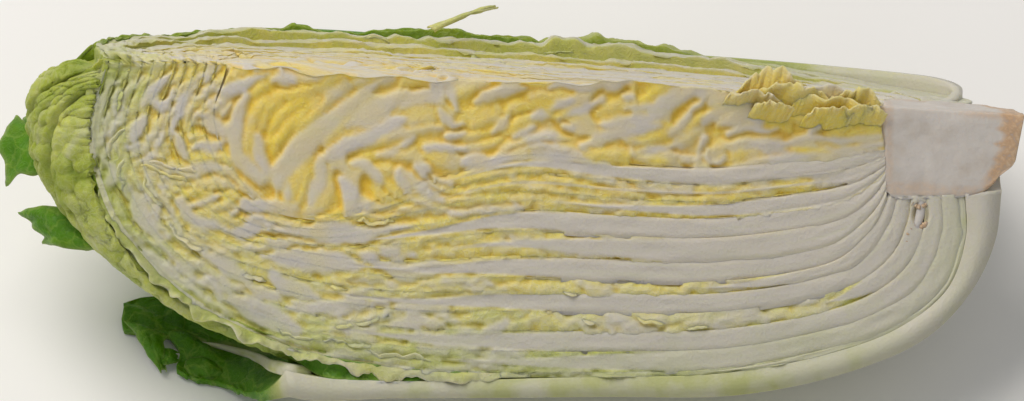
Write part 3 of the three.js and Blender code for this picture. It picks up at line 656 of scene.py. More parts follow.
# Rib sections that show in the front face: [(along, out, width), ...].
RIBS = [
    [(-137.5, 7, 1.5), (-140.5, 7.5, 2.5), (-142, 10.5, 2.5), (-143.5, 16, 2), (-145, 22.5, 2),
     (-145.5, 28, 1.5), (-146, 31, 1)],
    [(-146, 12, 2), (-143.5, 12, 2.5)],
    [(-134, 24.5, 2), (-132.5, 21, 4.5), (-130.5, 17, 2.5)],
    [(-135, 27, 2.5), (-132, 26, 2.5)],
    [(-142.5, 31, 2), (-139.5, 33, 3.5), (-140, 37, 4)],
    [(-122, 3.5, 2), (-125.5, 7.5, 3.5), (-129, 11, 3.5), (-130.5, 14, 1.5)],
    [(-127.5, 13, 2.5), (-125, 14, 4), (-122.5, 11, 2), (-121.5, 8.5, 1.5)],
    [(-113.5, 4, 1.5), (-116.5, 8, 2), (-118.5, 12, 3.5), (-120, 16, 3.5), (-121.5, 19.5, 2),
     (-122, 23, 1.5)],
    [(-113, 18, 3), (-110, 18, 5.5), (-106.5, 20, 4), (-104.5, 18.5, 2)],
    [(-116, 26, 1.5), (-113, 25, 3.5), (-109.5, 25, 3.5), (-106, 23.5, 1.5)],
    [(-117.5, 32, 2), (-115, 31, 3.5), (-111.5, 30.5, 4), (-108, 30.5, 2.5)],
    [(-108.5, 8, 1.5), (-105, 7.5, 3.5), (-102, 6, 3.5), (-97.5, 3, 3), (-93.5, 1.5, 1.5)],
    [(-104.5, 11.5, 1.5), (-107, 14.5, 2)],
    [(-99.5, 9, 2.5), (-101.5, 13.5, 4.5), (-102.5, 18, 4.5), (-103, 23, 4.5), (-101.5, 27.5, 4.5),
     (-98.5, 31, 5), (-95, 34, 4)],
    [(-96, 21, 3.5), (-95.5, 25.5, 4.5), (-94, 29, 4), (-93, 32.5, 2.5)],
    [(-120.5, 22.5, 3), (-119, 26, 3.5), (-118, 28.5, 2)],
    [(-125, 37.5, 2.5), (-123.5, 37.5, 2.5)],
    [(-92, 3.5, 3), (-89.5, 3, 4), (-86.5, 3, 3.5)],
    [(-89, 36, 3), (-89.5, 32, 6), (-86, 27, 7.5), (-82.5, 23, 7), (-78, 18.5, 6), (-73.5, 14, 4.5),
     (-69.5, 10, 3.5), (-64.5, 6, 3.5), (-61, 3, 2.5)],
    [(-69.5, 16, 2), (-66.5, 14, 4), (-62.5, 11.5, 6), (-59, 9, 6), (-55.5, 6.5, 4.5), (-52, 4.5, 2.5)],
    [(-52, 8, 3), (-48.5, 6, 4), (-44.5, 5, 4)],
    [(-75.5, 26, 4), (-72, 24, 5.5), (-68.5, 21.5, 5.5), (-63.5, 19.5, 5), (-60, 17.5, 4),
     (-56.5, 15, 4), (-52.5, 13, 2)],
    [(-77, 26, 2.5), (-77, 29.5, 5), (-77.5, 33.5, 5), (-79.5, 38, 3.5), (-80, 40.5, 2.5)],
    [(-71, 32, 2), (-69.5, 33.5, 4.5), (-68, 36.5, 5.5), (-68.5, 41, 4.5)],
    [(-68, 27.5, 2), (-64.5, 27.5, 4), (-61.5, 30, 4.5), (-59, 32.5, 2.5)],
    [(-53.5, 27.5, 1.5), (-53, 31, 4), (-50.5, 34, 2.5)],
    [(-47.5, 27, 4), (-46.5, 28.5, 4)],
    [(-60, 24.5, 2), (-57.5, 24, 2.5), (-54.5, 23, 1.5)],
    [(-56, 21.5, 1), (-53, 20.5, 2.5), (-49.5, 18, 1.5)],
    [(-87.5, 33.5, 2), (-87, 37, 3.5), (-87, 40.5, 2.5)],
    [(-52.5, 8.5, 2), (-49.5, 6.5, 4), (-46.5, 5, 3.5), (-43, 3.5, 1.5)],
    [(-39, 2, 2), (-38, 5.5, 3.5), (-36.5, 9, 1.5)],
    [(-41.5, 9.5, 2), (-39.5, 12, 3.5), (-37.5, 13.5, 2.5), (-34.5, 13, 1)],
    [(-31.5, 7, 1.5), (-28, 5, 4), (-24, 3.5, 4), (-20.5, 2.5, 3.5), (-16.5, 2, 1.5)],
    [(-26, 15.5, 1.5), (-24, 13, 3.5), (-21.5, 10, 2.5)],
    [(-19.5, 16, 1.5), (-17, 14.5, 2.5), (-14.5, 13, 2)],
    [(-39.5, 17.5, 2.5), (-36.5, 17, 3), (-34.5, 16, 1.5)],
    [(-46, 20.5, 2.5), (-42, 20.5, 3.5), (-37.5, 20.5, 2.5), (-33.5, 20.5, 1)],
    [(-34.5, 24.5, 3), (-30.5, 24, 5), (-27, 24, 4), (-22, 22.5, 2), (-16.5, 22.5, 1)],
    [(-13, 21.5, 3), (-7.5, 22, 4), (-2, 22.5, 4), (4, 24, 4), (9.5, 24, 3)],
    [(-9, 8, 2), (-6, 6, 3.5), (-2.5, 4.5, 2.5)],
    [(-6.5, 10.5, 1.5), (-3, 8.5, 2.5), (1.5, 7, 3), (6.5, 4.5, 2.5)],
    [(-13.5, 10, 2.5), (-11.5, 9.5, 3.5), (-9.5, 10, 2)],
    [(-4.5, 12, 2.5), (-2.5, 12.5, 2.5)],
    [(1, 17.5, 2.5), (3.5, 16.5, 4), (7.5, 15, 4), (13, 13, 4), (21, 11, 3.5), (24, 10.5, 2)],
    [(-49, 27.5, 2), (-46.5, 27, 4), (-45, 28, 2.5)],
    [(-44, 29, 1.5), (-41, 30.5, 2.5), (-38, 31, 2)],
    [(-9, 1, 1.5), (-4.5, 0, 4), (0.5, -0.5, 4.5), (5.5, -1, 5.5), (11, 0, 5.5), (15, -1.5, 3.5),
     (19.5, -3, 1.5), (25.5, -3.5, 1)],
    [(13, 4, 1.5), (15, 4, 2.5), (16.5, 4, 1.5)],
    [(13.5, 6.5, 1), (16, 6, 2), (18.5, 6, 1.5), (23.5, 5.5, 1)],
    [(7.5, 11, 2.5), (11, 10.5, 3.5), (15, 9.5, 3), (21.5, 8.5, 1.5)],
    [(20.5, 10, 2.5), (24, 6.5, 4), (29, 3, 4.5), (33, 0, 4.5), (36.5, -1.5, 3), (40.5, -2.5, 2),
     (44, -3.5, 1)],
    [(27.5, 12.5, 2.5), (30.5, 9.5, 3), (33.5, 6, 2.5), (36.5, 3.5, 2), (38.5, 1, 1)],
    [(37.5, 8, 2.5), (40.5, 6.5, 4), (43.5, 5, 2.5), (46.5, 4, 1.5)],
    [(39.5, 4, 2.5), (42.5, 2, 2.5), (47.5, 1, 2.5), (51, 2, 2.5)],
    [(43.5, 8.5, 2), (47.5, 7, 4.5), (51, 5, 4.5), (53.5, 7, 3.5)],
    [(44.5, 11.5, 2), (47.5, 10, 3), (51, 9, 2.5), (56, 10, 1.5), (59.5, 9, 1)],
    [(35.5, 18.5, 1.5), (36.5, 16, 2.5), (38, 13.5, 2.5)],
    [(39, 16.5, 1), (38.5, 18, 1), (39.5, 20, 1), (42.5, 19.5, 2), (43.5, 18, 1.5)],
    [(17.5, 17.5, 1.5), (21, 17.5, 2.5), (25.5, 16.5, 2), (29, 15.5, 1.5)],
    [(15.5, 17, 2), (16, 19, 2)],
    [(31, 20, 1), (34, 21.5, 1.5), (39, 22.5, 1.5)],
    [(41, 22.5, 1.5), (48.5, 20.5, 2.5), (56, 18.5, 2.5), (66.5, 16.5, 2.5), (73, 15.5, 1.5)],
    [(15, 24, 1.5), (21.5, 25, 3), (31.5, 25.5, 3), (41, 25.5, 4), (52.5, 24, 4), (66.5, 21.5, 3.5),
     (79, 20.5, 2.5)],
    [(59, 1, 1.5), (64, 0, 2), (69.5, -1.5, 1.5), (73, -1.5, 1)],
    [(61, 4, 1), (64, 2.5, 1.5), (68, 0, 1.5)],
    [(69.5, 9.5, 2), (72.5, 7, 2.5), (74.5, 5.5, 1)],
    [(80, 5.5, 1), (81, 3, 1.5), (81.5, 0.5, 1.5), (80.5, -1, 1)],
    [(77, 5.5, 1.5), (77.5, 3, 1.5)],
    [(61.5, 13.5, 1.5), (67.5, 11.5, 2.5), (72, 11, 2), (79, 11.5, 2), (86.5, 10, 2.5), (93, 9, 1.5)],
    [(73, 17, 1), (77, 15.5, 2.5), (81, 14, 2.5), (86.5, 12, 2.5), (93, 10.5, 1)],
    [(-133, 40.5, 2.5), (-131, 45, 6), (-130, 48, 5.5), (-127, 51, 4), (-124.5, 53.5, 1.5)],
    [(-126, 43.5, 2), (-125, 45.5, 1.5)],
    [(-119, 42, 3.5), (-117, 45.5, 4.5), (-113.5, 47, 3.5), (-108, 48.5, 2.5), (-104, 50, 1.5)],
    [(-116.5, 43, 2.5), (-112.5, 41.5, 3), (-108.5, 39.5, 2)],
    [(-99.5, 42, 4), (-94.5, 42, 4.5), (-89.5, 42, 4.5), (-85, 42, 4)],
    [(-104, 44.5, 1.5), (-102.5, 43.5, 2)],
    [(-103.5, 50, 2.5), (-100.5, 50, 5), (-97, 49, 4)],
    [(-92.5, 52, 2), (-90.5, 53, 3.5), (-87.5, 52.5, 2)],
    [(-113.5, 56, 1.5), (-109.5, 58, 4), (-104.5, 60.5, 5), (-100, 63.5, 4), (-96, 65.5, 1.5)],
    [(-118, 61.5, 3.5), (-115.5, 61.5, 3)],
    [(-107.5, 64, 2), (-104.5, 67, 3.5), (-101.5, 67, 2.5)],
    [(-98.5, 65.5, 2.5), (-94.5, 67.5, 4.5), (-90.5, 68.5, 3.5)],
    [(-144, 46, 2), (-141, 50, 2.5), (-136.5, 55, 3), (-132, 59, 3.5), (-127, 63, 5), (-124, 66, 2.5)],
    [(-120.5, 60.5, 1.5), (-119.5, 62.5, 1.5)],
    [(-102, 71.5, 2.5), (-98, 72.5, 5.5), (-92, 73.5, 6), (-87.5, 75, 4.5)],
    [(-90, 48.5, 1), (-85, 49, 2.5), (-79, 48.5, 5.5), (-71.5, 48, 7), (-64.5, 48.5, 6), (-60, 47, 4),
     (-54.5, 45.5, 3), (-50.5, 45, 2)],
    [(-94.5, 57, 1), (-88.5, 57, 4), (-83, 57.5, 6), (-75, 57.5, 7), (-69.5, 57.5, 5.5), (-65, 58.5, 2)],
    [(-64, 54.5, 3.5), (-61.5, 55, 4)],
    [(-57.5, 53, 3), (-54.5, 53, 3.5)],
    [(-52, 54.5, 2), (-49, 54, 2.5)],
    [(-60.5, 57, 1.5), (-56.5, 57.5, 4), (-53, 59, 5.5), (-48.5, 58.5, 5.5), (-43.5, 57, 4),
     (-37, 56, 3)],
    [(-85, 70, 2), (-80.5, 71.5, 4), (-75, 71, 3), (-69, 70, 2.5), (-64, 69, 1)],
    [(-73.5, 66, 2), (-70, 66.5, 2)],
    [(-91, 62, 2.5), (-88.5, 65, 5.5), (-82.5, 66.5, 6.5), (-78, 68, 3.5)],
    [(-54.5, 67.5, 1.5), (-50, 67.5, 2), (-44.5, 67.5, 2), (-37.5, 66.5, 1.5)],
    [(-54, 70, 2.5), (-48, 70, 3.5), (-39.5, 69.5, 3)],
    [(-145, 8, 2), (-145, 16, 3), (-146, 23.5, 3), (-146, 31, 3), (-145.5, 38.5, 2)],
    [(-55, 75, 3), (-50, 74, 5), (-45.5, 72.5, 3)],
    [(-44, 74, 2.5), (-40, 74.5, 2.5)],
    [(-29.5, 77, 2.5), (-25, 75, 4.5), (-21, 72, 2.5)],
    [(-51, 78, 2.5), (-40.5, 79, 4), (-30, 80.5, 2.5)],
    [(-46.5, 82, 2.5), (-39, 83, 2.5)],
    [(-43, 87.5, 1.5), (-36, 87, 2.5), (-30.5, 86, 1.5)],
    [(-86.5, 72, 2.5), (-75.5, 70.5, 4), (-64.5, 68.5, 2.5)],
    [(-70, 78, 2), (-65.5, 78, 3.5), (-60.5, 77.5, 2)],
    [(-102.5, 70.5, 4), (-95.5, 74, 6.5), (-89, 76.5, 6.5), (-83.5, 78.5, 4)],
]

# Where the front face shows more blade than rib: (along, out, half length, half width, share).
YELLOW = [
    (-84, 14, 14, 12, 0.7), (21, 4, 6, 4, 1), (24, 20.8, 3.5, 1, 1), (41.6, 11, 2.4, 1, 1),
    (88, 3.5, 8, 4.5, 1), (69, 14.7, 7, 1, 1), (-60, 24, 8, 5, 0.6), (-8, 8, 9, 3, 0.8),
    (-112, 40, 10, 6, 0.7), (-128, 12, 6, 8, 0.6), (-30, 30, 9, 3, 0.7), (55, 5, 5, 4, 0.9),
    (74, 7, 17, 6, 0.85), (36, 14, 8, 3, 0.6),
]

# ---- The flow of the leaves in a cut face ------------------------------------

GRID_LOW = np.array([-165.0, -2.0])
GRID_SIZE = (302, 108)             # in 1 mm cells
GRID_X = GRID_LOW[0] + np.arange(GRID_SIZE[0])
GRID_R = GRID_LOW[1] + np.arange(GRID_SIZE[1])
FIELD_LEVELS = (-1, 1.6, 105)      # first, last and how many
FIELD_STATIONS = 261
FLOW_REACH = 7.0                   # a rib section steers its neighbours this far
FLOW_WANDER = 0.35                 # and the flow strays by this angle anyway


def make_field():
    """Level, station and heading of the leaves for each cell, and how far off they are."""
    lv, st = np.meshgrid(np.linspace(*FIELD_LEVELS), np.linspace(0, STATIONS, FIELD_STATIONS),
                         indexing="ij")
    x, r = guide_point(lv, st)
    tree = kdtree.KDTree(x.size)
    for index, (px, pr) in enumerate(zip(x.ravel(), r.ravel())):
        tree.insert((px, pr, 0), index)
    tree.balance()
    found = [[tree.find((px, pr, 0)) for pr in GRID_R] for px in GRID_X]
    nearest = np.array([[hit[1] for hit in column] for column in found])
    off = np.array([[hit[2] for hit in column] for column in found])
    heading = np.arctan2(np.gradient(r, axis=1), np.gradient(x, axis=1))
    return lv.ravel()[nearest], st.ravel()[nearest], heading.ravel()[nearest], off


LEVEL_AT, STATION_AT, HEADING_AT, OFF_LEVEL = make_field()


def steer(ribs):
    """Turns the heading of the cells near rib sections along them."""
    gx, gr = np.meshgrid(GRID_X, GRID_R, indexing="ij")
    c, s = np.cos(2 * HEADING_AT) * 0.5, np.sin(2 * HEADING_AT) * 0.5
    for path in ribs:
        points, _ = through(path, 40, 1.5)
        step = np.gradient(points, axis=0)
        for (px, pr), (dx, dr) in zip(points, step):
            near = np.exp(-((gx - px) ** 2 + (gr - pr) ** 2) / FLOW_REACH ** 2)
            angle = math.atan2(dr, dx)
            c += near * math.cos(2 * angle)
            s += near * math.sin(2 * angle)
    return np.arctan2(s, c) / 2 + noise(gx / 16, gr / 12, 5.5) * FLOW_WANDER


def cell_of(x, r):
    """The cell of a cut face in which a spot lies."""
    i = np.clip(np.round(np.asarray(x) - GRID_LOW[0]).astype(int), 0, GRID_SIZE[0] - 1)
    j = np.clip(np.round(np.asarray(r) - GRID_LOW[1]).astype(int), 0, GRID_SIZE[1] - 1)
    return i, j


def leaf_at(level, station, face):
    """The index of the leaf that lies at a level and station of a face; -1 for the heart."""
    if level < 0:
        return HEART
    for index in range(len(LEAVES)):
        if level <= leaf_room(index, station, face * QUARTER)[1]:
            return index
    return WRAPPER


def crinkle_map(face):
    """1 where a face shows crinkled blades, 0 where it shows ribs; and the leaf there."""
    shown = np.zeros(GRID_SIZE)
    leaf = np.zeros(GRID_SIZE, int)
    for i in range(GRID_SIZE[0]):
        for j in range(GRID_SIZE[1]):
            station = STATION_AT[i, j]
            index = leaf_at(LEVEL_AT[i, j], station, face)
            leaf[i, j] = index
            shown[i, j] = 1 if index < 0 else 1 - rib_share(index, station, face * QUARTER)
    return shown, leaf


FILL_STEP = 0.8                    # mm from one point of a fold's line to the next
FILL_TRIES = 16000
FILL_ALONG = (-160, 93)            # where a fold may start,
FILL_OUT = (0.3, 98)
FILL_REACH = (5, 22)               # and how many steps it runs each way
FILL_EDGES = (0.2, 100)            # how far out it has to stay
LEAST_BLADE = 0.2                  # share of blade that has to show there
OFF_GUIDES = 2.2                   # mm by which it may lie off the guide lines,
SPINE_LEVEL = -0.97                # unless it is inside the first one
RIB_LAP = 1.4                      # mm by which folds run under a rib
CLOSING = 0.62                     # share of the gap to which lines may close up
HEART_GAP = 3.4                    # from one fold to the next in the heart
LEAF_GAP = 2.5                     # and in the frilled leaves
BIN = 3                            # size of the squares that sort the points


def fill_gap(x, r):
    """How far apart the folds lie: closer in the frilled leaves than in the heart."""
    wide = HEART_GAP if LEVEL_AT[cell_of(x, r)] < 0.05 else LEAF_GAP
    return wide * (1 + 0.45 * float(noise(x / 9, r / 7, 21.3)))


def fill_lines(shown, heading, ribs, random):
    """Evenly spaced lines along the flow, in the crinkled part of a face, clear of its ribs."""
    blocked = {}

    def mark(x, r, owner, size):
        blocked.setdefault((int(x // BIN), int(r // BIN)), []).append((x, r, owner, size))

    def crowded(x, r, gap, owner):
        ci, cj = int(x // BIN), int(r // BIN)
        for i in (-1, 0, 1):
            for j in (-1, 0, 1):
                for px, pr, who, size in blocked.get((ci + i, cj + j), ()):
                    if who != owner and (px - x) ** 2 + (pr - r) ** 2 < (gap + size) ** 2:
                        return True
        return False

    def inside(x, r):
        i, j = cell_of(x, r)
        if r < FILL_EDGES[0] or r > FILL_EDGES[1] or x > FILL_ALONG[1] or shown[i, j] < LEAST_BLADE:
            return False
        return OFF_LEVEL[i, j] < OFF_GUIDES or LEVEL_AT[i, j] < SPINE_LEVEL

    def run_on(x, r, sign, gap, owner):
        """Half a line: from its seed along the flow, until it leaves the face or is crowded."""
        line = []
        before = None
        for _ in range(int(random.uniform(*FILL_REACH))):
            angle = heading[cell_of(x, r)]
            dx, dr = math.cos(angle), math.sin(angle)
            if before is None:
                dx, dr = dx * sign, dr * sign
            elif dx * before[0] + dr * before[1] < 0:
                dx, dr = -dx, -dr
            before = (dx, dr)
            x, r = x + dx * FILL_STEP, r + dr * FILL_STEP
            if not inside(x, r) or crowded(x, r, gap * CLOSING, owner):
                break
            line.append((x, r))
        return line

    for path in ribs:
        points, _ = through(path, 40, 1.2)
        for (x, r), width in zip(points, widths_along(path, len(points))):
            mark(x, r, -1, width / 2 - RIB_LAP)
    lines = []
    seeds = np.stack([random.uniform(*ends, FILL_TRIES) for ends in (FILL_ALONG, FILL_OUT)], 1)
    for owner, (sx, sr) in enumerate(seeds):
        gap = fill_gap(sx, sr)
        if not inside(sx, sr) or crowded(sx, sr, gap, owner):
            continue
        forward, backward = (run_on(sx, sr, sign, gap, owner) for sign in (1, -1))
        line = backward[::-1] + [(sx, sr)] + forward
        if len(line) < 4:
            continue
        for x, r in line:
            mark(x, r, owner, 0)
        lines.append(np.array(line))
    return lines


def blurred(grid, radius, times=3):
    """A grid of values blurred by a box of that radius in cells, so many times."""
    for _ in range(times):
        for axis in (0, 1):
            pad = [(0, 0), (0, 0)]
            pad[axis] = (radius + 1, radius)
            total = np.cumsum(np.pad(grid, pad, mode="edge"), axis=axis)
            n = grid.shape[axis]
            high = np.take(total, np.arange(n) + 2 * radius + 1, axis=axis)
            low = np.take(total, np.arange(n), axis=axis)
            grid = (high - low) / (2 * radius + 1)
    return grid


RASTER = 0.35                      # mm from one sample of a relief to the next
FOLD_REACH = 4.2                   # mm to each side that a fold and a rib can shape
RIB_REACH = 2.5
RELIEF_DEPTH = 0.63                # share of the folds' height that is kept
MOSTLY_YELLOW = 0.7                # share of the folds that have little white


def rear_rib(path):
    """A rib section of the front face, moved a little for the rear face."""
    return [(x + 5 * float(noise(x / 30, 3.3)),
             max(1, r * 0.9 + 3 * float(noise(x / 12, r / 12, 8.8))), width)
            for x, r, width in path]


class Relief:
    """The folds of one cut face: height, how white and how much painted shade, on a fine grid.

    The mask is 1 on rib sections and 0 on the blades between them."""

    def __init__(self, face, random):
        self.face = face
        ribs = [rear_rib(path) for path in RIBS] if face else RIBS
        self.shown, self.leaf = crinkle_map(face)
        self.lines = fill_lines(self.shown, steer(ribs), ribs, random)
        shape = tuple(int(n / RASTER) for n in GRID_SIZE)
        self.gx = GRID_LOW[0] + np.arange(shape[0]) * RASTER
        self.gr = GRID_LOW[1] + np.arange(shape[1]) * RASTER
        gx, gr = np.meshgrid(self.gx, self.gr, indexing="ij")
        fold, pale = self.folds(gx, gr, random)
        height, white = self.add_ribs(gx, gr, fold, pale, ribs)
        height = height + 0.7 * noise(gx / 14, gr / 10, 12.1)
        # Painted shade: the colour darkens where the relief lies below its blurred mean, as in creases; less
        # on the ribs.
        painted_shade_and_browning = np.clip((blurred(height, 4) - height - 0.12) / 0.8, 0, 1) * (1 - 0.75 * self.mask)
        white = blurred(white, 1, 1)
        height, white, painted_shade_and_browning = (blurred(grid, 1, 1) for grid in (height, white, painted_shade_and_browning))
        self.height = RELIEF_DEPTH * height
        self.white = np.clip(white, 0, 1)
        self.painted_shade_and_browning = np.clip(painted_shade_and_browning, 0, 1)

    def folds(self, gx, gr, random):
        """Blades that lie over each other like shingles, with a crease where one ends."""
        near = np.full(gx.shape, 5.0)
        side = np.zeros(gx.shape)
        fills = {"top": -0.4, "slope": 0.2, "white": 0.1, "run": 0.0, "seed": 0.0}
        fields = {name: np.full(gx.shape, fill) for name, fill in fills.items()}
        for number, line in enumerate(self.lines):
            points, run = resample(line, 0.5)
            normal = normals_of_line(points)
            x, r = points[len(points) // 2]
            frilled = 0.35 + 0.65 * smooth(-0.2, 0.3, LEVEL_AT[cell_of(x, r)])
            ruffle = 0.9 * noise(run / 3.1, number * 1.7) + 0.5 * noise(run / 1.4, number * 2.9)
            points = points + normal * (frilled * ruffle)[:, None]
            ends = np.minimum(run, run[-1] - run)
            top = (random.uniform(0.0, 0.45) + 0.35 * noise(run / 4.0, number * 2.1)
                   - 0.6 * (1 - np.clip(ends / 3, 0, 1)))
            lean = np.sign(noise(x / 17, r / 13, 9.9) + random.uniform(-0.35, 0.35))
            slope = random.uniform(0.05, 0.35)
            whites = (0.0, 0.2) if random.random() < MOSTLY_YELLOW else (0.3, 0.7)
            values = {"slope": slope, "seed": number * 1.37, "white": random.uniform(*whites)}
            for (px, pr), (nx, nr), high, at in zip(points, normal, top, run):
                window, dx, dr = self.window(px, pr, FOLD_REACH)
                gap = np.hypot(dx, dr)
                closer = gap < near[window]
                near[window][closer] = gap[closer]
                side[window][closer] = np.where((dx * nx + dr * nr) * lean > 0, gap, -gap)[closer]
                for name, value in (*values.items(), ("top", high), ("run", at)):
                    fields[name][window][closer] = value
        return self.pleated(gx, gr, side, fields)

    def pleated(self, gx, gr, side, fields):
        """Height and whiteness of the blades, with their pleats, crests and fine ripples."""
        run, seed = fields["run"], fields["seed"]
        drop = np.where(side > 0, fields["slope"] * side, -0.9 * side)
        phase = side / 1.7 + 0.55 * noise(run / 5, seed) + 0.25 * noise(run / 1.8, seed + 3)
        pleat = (1 - np.abs(2 * (phase - np.floor(phase)) - 1)) ** 2.5
        show = np.clip(0.5 + 0.9 * noise(run / 8, side / 3, seed + 9), 0, 1)
        fold = fields["top"] - np.minimum(drop, 2.0) + 0.35 * pleat * show
        crest = np.exp(-(side / 0.4) ** 2) * np.clip(0.5 + 0.8 * noise(run / 4, seed + 5), 0, 1)
        patch = smooth(0.1, 0.55, noise(gx / 11, gr / 8, 17.7)) * 0.4
        # Paler on the pleats' tops, a painted highlight, and less pale where the blade falls away from its
        # fold, painted shade.
        pale = fields["white"] + patch + 0.4 * crest + 0.25 * pleat * show - 0.3 * smooth(0.4, 1.8, drop)
        wx, wr = gx + 1.6 * noise(gx / 4, gr / 4, 31.5), gr + 1.6 * noise(gx / 4, gr / 4, 37.5)
        level = LEVEL_AT[cell_of(gx, gr)]
        frilled = 0.3 + 0.7 * smooth(-0.3, 0.12, level)
        ridge = np.clip(1 - 2.6 * np.abs(noise(wx / 3.0, wr / 1.9, 41.5)), 0, 1) ** 2
        ripple = np.clip(1 - 2.6 * np.abs(noise(wx / 1.7, wr / 1.2, 43.5)), 0, 1) ** 2
        fold = fold + frilled * (0.75 * ridge + 0.55 * ripple - 0.3)
        # Paler on the ridges' and ripples' tops: a painted highlight.
        pale = pale + frilled * (0.35 * ridge + 0.3 * ripple - 0.08) + (0.3 if self.face else -0.05)
        for x, r, long, wide, share in YELLOW:
            near = np.exp(-(((gx - x) / long) ** 2 + ((gr - r) / wide) ** 2) ** 2)
            pale = pale * (1 - share * near)
        return fold, np.clip(pale, 0, 0.95)

    def add_ribs(self, gx, gr, fold, pale, ribs):
        """Lays the rib sections among the folds: crisp along one flank, soft along the other."""
        inside = np.full(gx.shape, 9.0)
        crown = np.zeros(gx.shape)
        flank = np.zeros(gx.shape)
        for number, path in enumerate(ribs):
            points, run = through(path, 60, 0.5)
            swollen = 1.08 + 0.15 * noise(run / 5, number * 3.7)
            size = widths_along(path, len(run)) / 2 * swollen + 0.1
            top = 0.15 + 0.3 * float(noise(number * 5.3, 1.7)) + 0.3 * noise(run / 8, number * 1.9)
            tilt = 0.12 * float(noise(number * 2.9, 6.3))
            heading = np.gradient(points, axis=0)
            heading /= np.hypot(heading[:, 0], heading[:, 1])[:, None] + 1e-6
            for (px, pr), (hx, hr), half, high in zip(points, heading, size, top):
                window, dx, dr = self.window(px, pr, half + RIB_REACH)
                gap = np.hypot(dx, dr) - half
                closer = gap < inside[window]
                inside[window][closer] = gap[closer]
                side = dr * hx - dx * hr
                round_top = high - 0.4 * np.clip(1 + gap / half, 0, 1.2) ** 4 + tilt * side
                crown[window][closer] = round_top[closer]
                turn = 1 if number % 3 else -1
                flank[window][closer] = np.clip(side / half * turn, -1, 1)[closer]
        edge = inside + 0.6 * noise(gx / 4.2, gr / 3.2, 6.6) + 0.35 * noise(gx / 1.6, gr / 1.6, 3.1)
        soft = 0.35 + 1.1 * smooth(0.7, -0.6, flank + 0.8 * noise(gx / 8, gr / 8, 14.9))
        self.mask = 1 - smooth(-soft, 0.25, edge)
        ditch = np.clip(1 - np.abs(edge - 0.6) / 0.9, 0, 1) * np.clip(
            0.05 + 0.5 * flank + 1.4 * noise(gx / 7, gr / 7, 2.7), 0, 1)
        height = mix(fold - 1.0 * ditch, crown + 0.1 * noise(gx / 2.2, gr / 2.2, 8.2), self.mask)
        cream = 0.88 + 0.25 * noise(gx / 6, gr / 6, 5.9)
        # The blade is less white in the ditch beside a rib: painted shade.
        return height, mix(pale * (1 - 0.6 * ditch), cream, self.mask)

    def bare(self, x, r):
        """Which of these spots lie on crumpled blade, clear of ribs."""
        i = np.clip(((x - GRID_LOW[0]) / RASTER).astype(int), 0, len(self.gx) - 1)
        j = np.clip(((r - GRID_LOW[1]) / RASTER).astype(int), 0, len(self.gr) - 1)
        return (self.mask[i, j] < 0.3) & (self.shown[cell_of(x, r)] > 0.8)

    def window(self, px, pr, reach):
        """The samples within reach of a spot, and how far from it they lie."""
        i0 = max(0, int((px - reach - GRID_LOW[0]) / RASTER))
        i1 = max(i0 + 1, int((px + reach - GRID_LOW[0]) / RASTER) + 1)
        j0 = max(0, int((pr - reach - GRID_LOW[1]) / RASTER))
        j1 = max(j0 + 1, int((pr + reach - GRID_LOW[1]) / RASTER) + 1)
        window = (slice(i0, i1), slice(j0, j1))
        return window, self.gx[i0:i1, None] - px, self.gr[None, j0:j1] - pr

    def sample(self, x, r):
        """Height, whiteness and painted shade at any spots of the face."""
        fx = np.clip((x - GRID_LOW[0]) / RASTER, 0, len(self.gx) - 1.001)
        fr = np.clip((r - GRID_LOW[1]) / RASTER, 0, len(self.gr) - 1.001)
        i, j = fx.astype(int), fr.astype(int)
        u, v = fx - i, fr - j
        return [mix(mix(g[i, j], g[i + 1, j], u), mix(g[i, j + 1], g[i + 1, j + 1], u), v)
                for g in (self.height, self.white, self.painted_shade_and_browning)]


def add_frills(fleshes, relief, random, part):
    """Thin blade edges that stand out of the folds, along some of their lines."""
    face = relief.face
    for number, line in enumerate(relief.lines):
        middle = cell_of(*line[len(line) // 2])
        if random.random() > part or not 0.02 < LEVEL_AT[middle] < 0.98:
            continue
        turns = np.flatnonzero(np.diff(np.concatenate([[0], relief.bare(line[:, 0], line[:, 1]), [0]])))
        if not len(turns):
            continue
        first, last = max(zip(turns[::2], turns[1::2]), key=lambda ends: ends[1] - ends[0])
        if last - first < 5:
            continue
        points, run = resample(line[first:last], 0.7)
        cell = cell_of(*points[len(points) // 2])
        index = relief.leaf[cell]
        ruffle = 0.8 * noise(run / 2.4, number * 1.7) + 0.4 * noise(run / 1.2, number * 2.9)
        points = points + normals_of_line(points) * ruffle[:, None]
        ends = np.minimum(run, run[-1] - run)
        taper = 0.2 + 0.8 * np.clip(ends / 2.2, 0, 1) ** 0.7
        width = random.uniform(0.6, 1.0)
        base = relief.sample(points[:, 0], points[:, 1])[0]
        top = random.uniform(0.2, 0.8) * taper + 0.3 * noise(run / 2.6, number * 2.1) - 0.6 * (1 - taper)
        lean = 0.9 * np.sign(noise(number * 3.1, 9.9)) + 0.3 * noise(run / 4, number * 3.3)
        if face == 1 and index >= 0:
            base = base + LEAVES[index].proud * 0.7
        tone = tone_of(LEVEL_AT[cell], STATION_AT[cell]) + random.uniform(-0.05, 0.05)
        ribbon(fleshes[index], face, points, width * taper, top, 1.5, lean,
               random.uniform(0.3, 0.8), max(tone, 0), number * 0.77, BLADE_PROFILE, base)


# ---- The heart's bed ---------------------------------------------------------

HEART_LAST_STATION = 12.2
HEART_STEP = 0.62                  # mm from row to row
HEART_COLUMNS = 44                 # across each cut face
HEART_TURNS = 12                   # round the outside


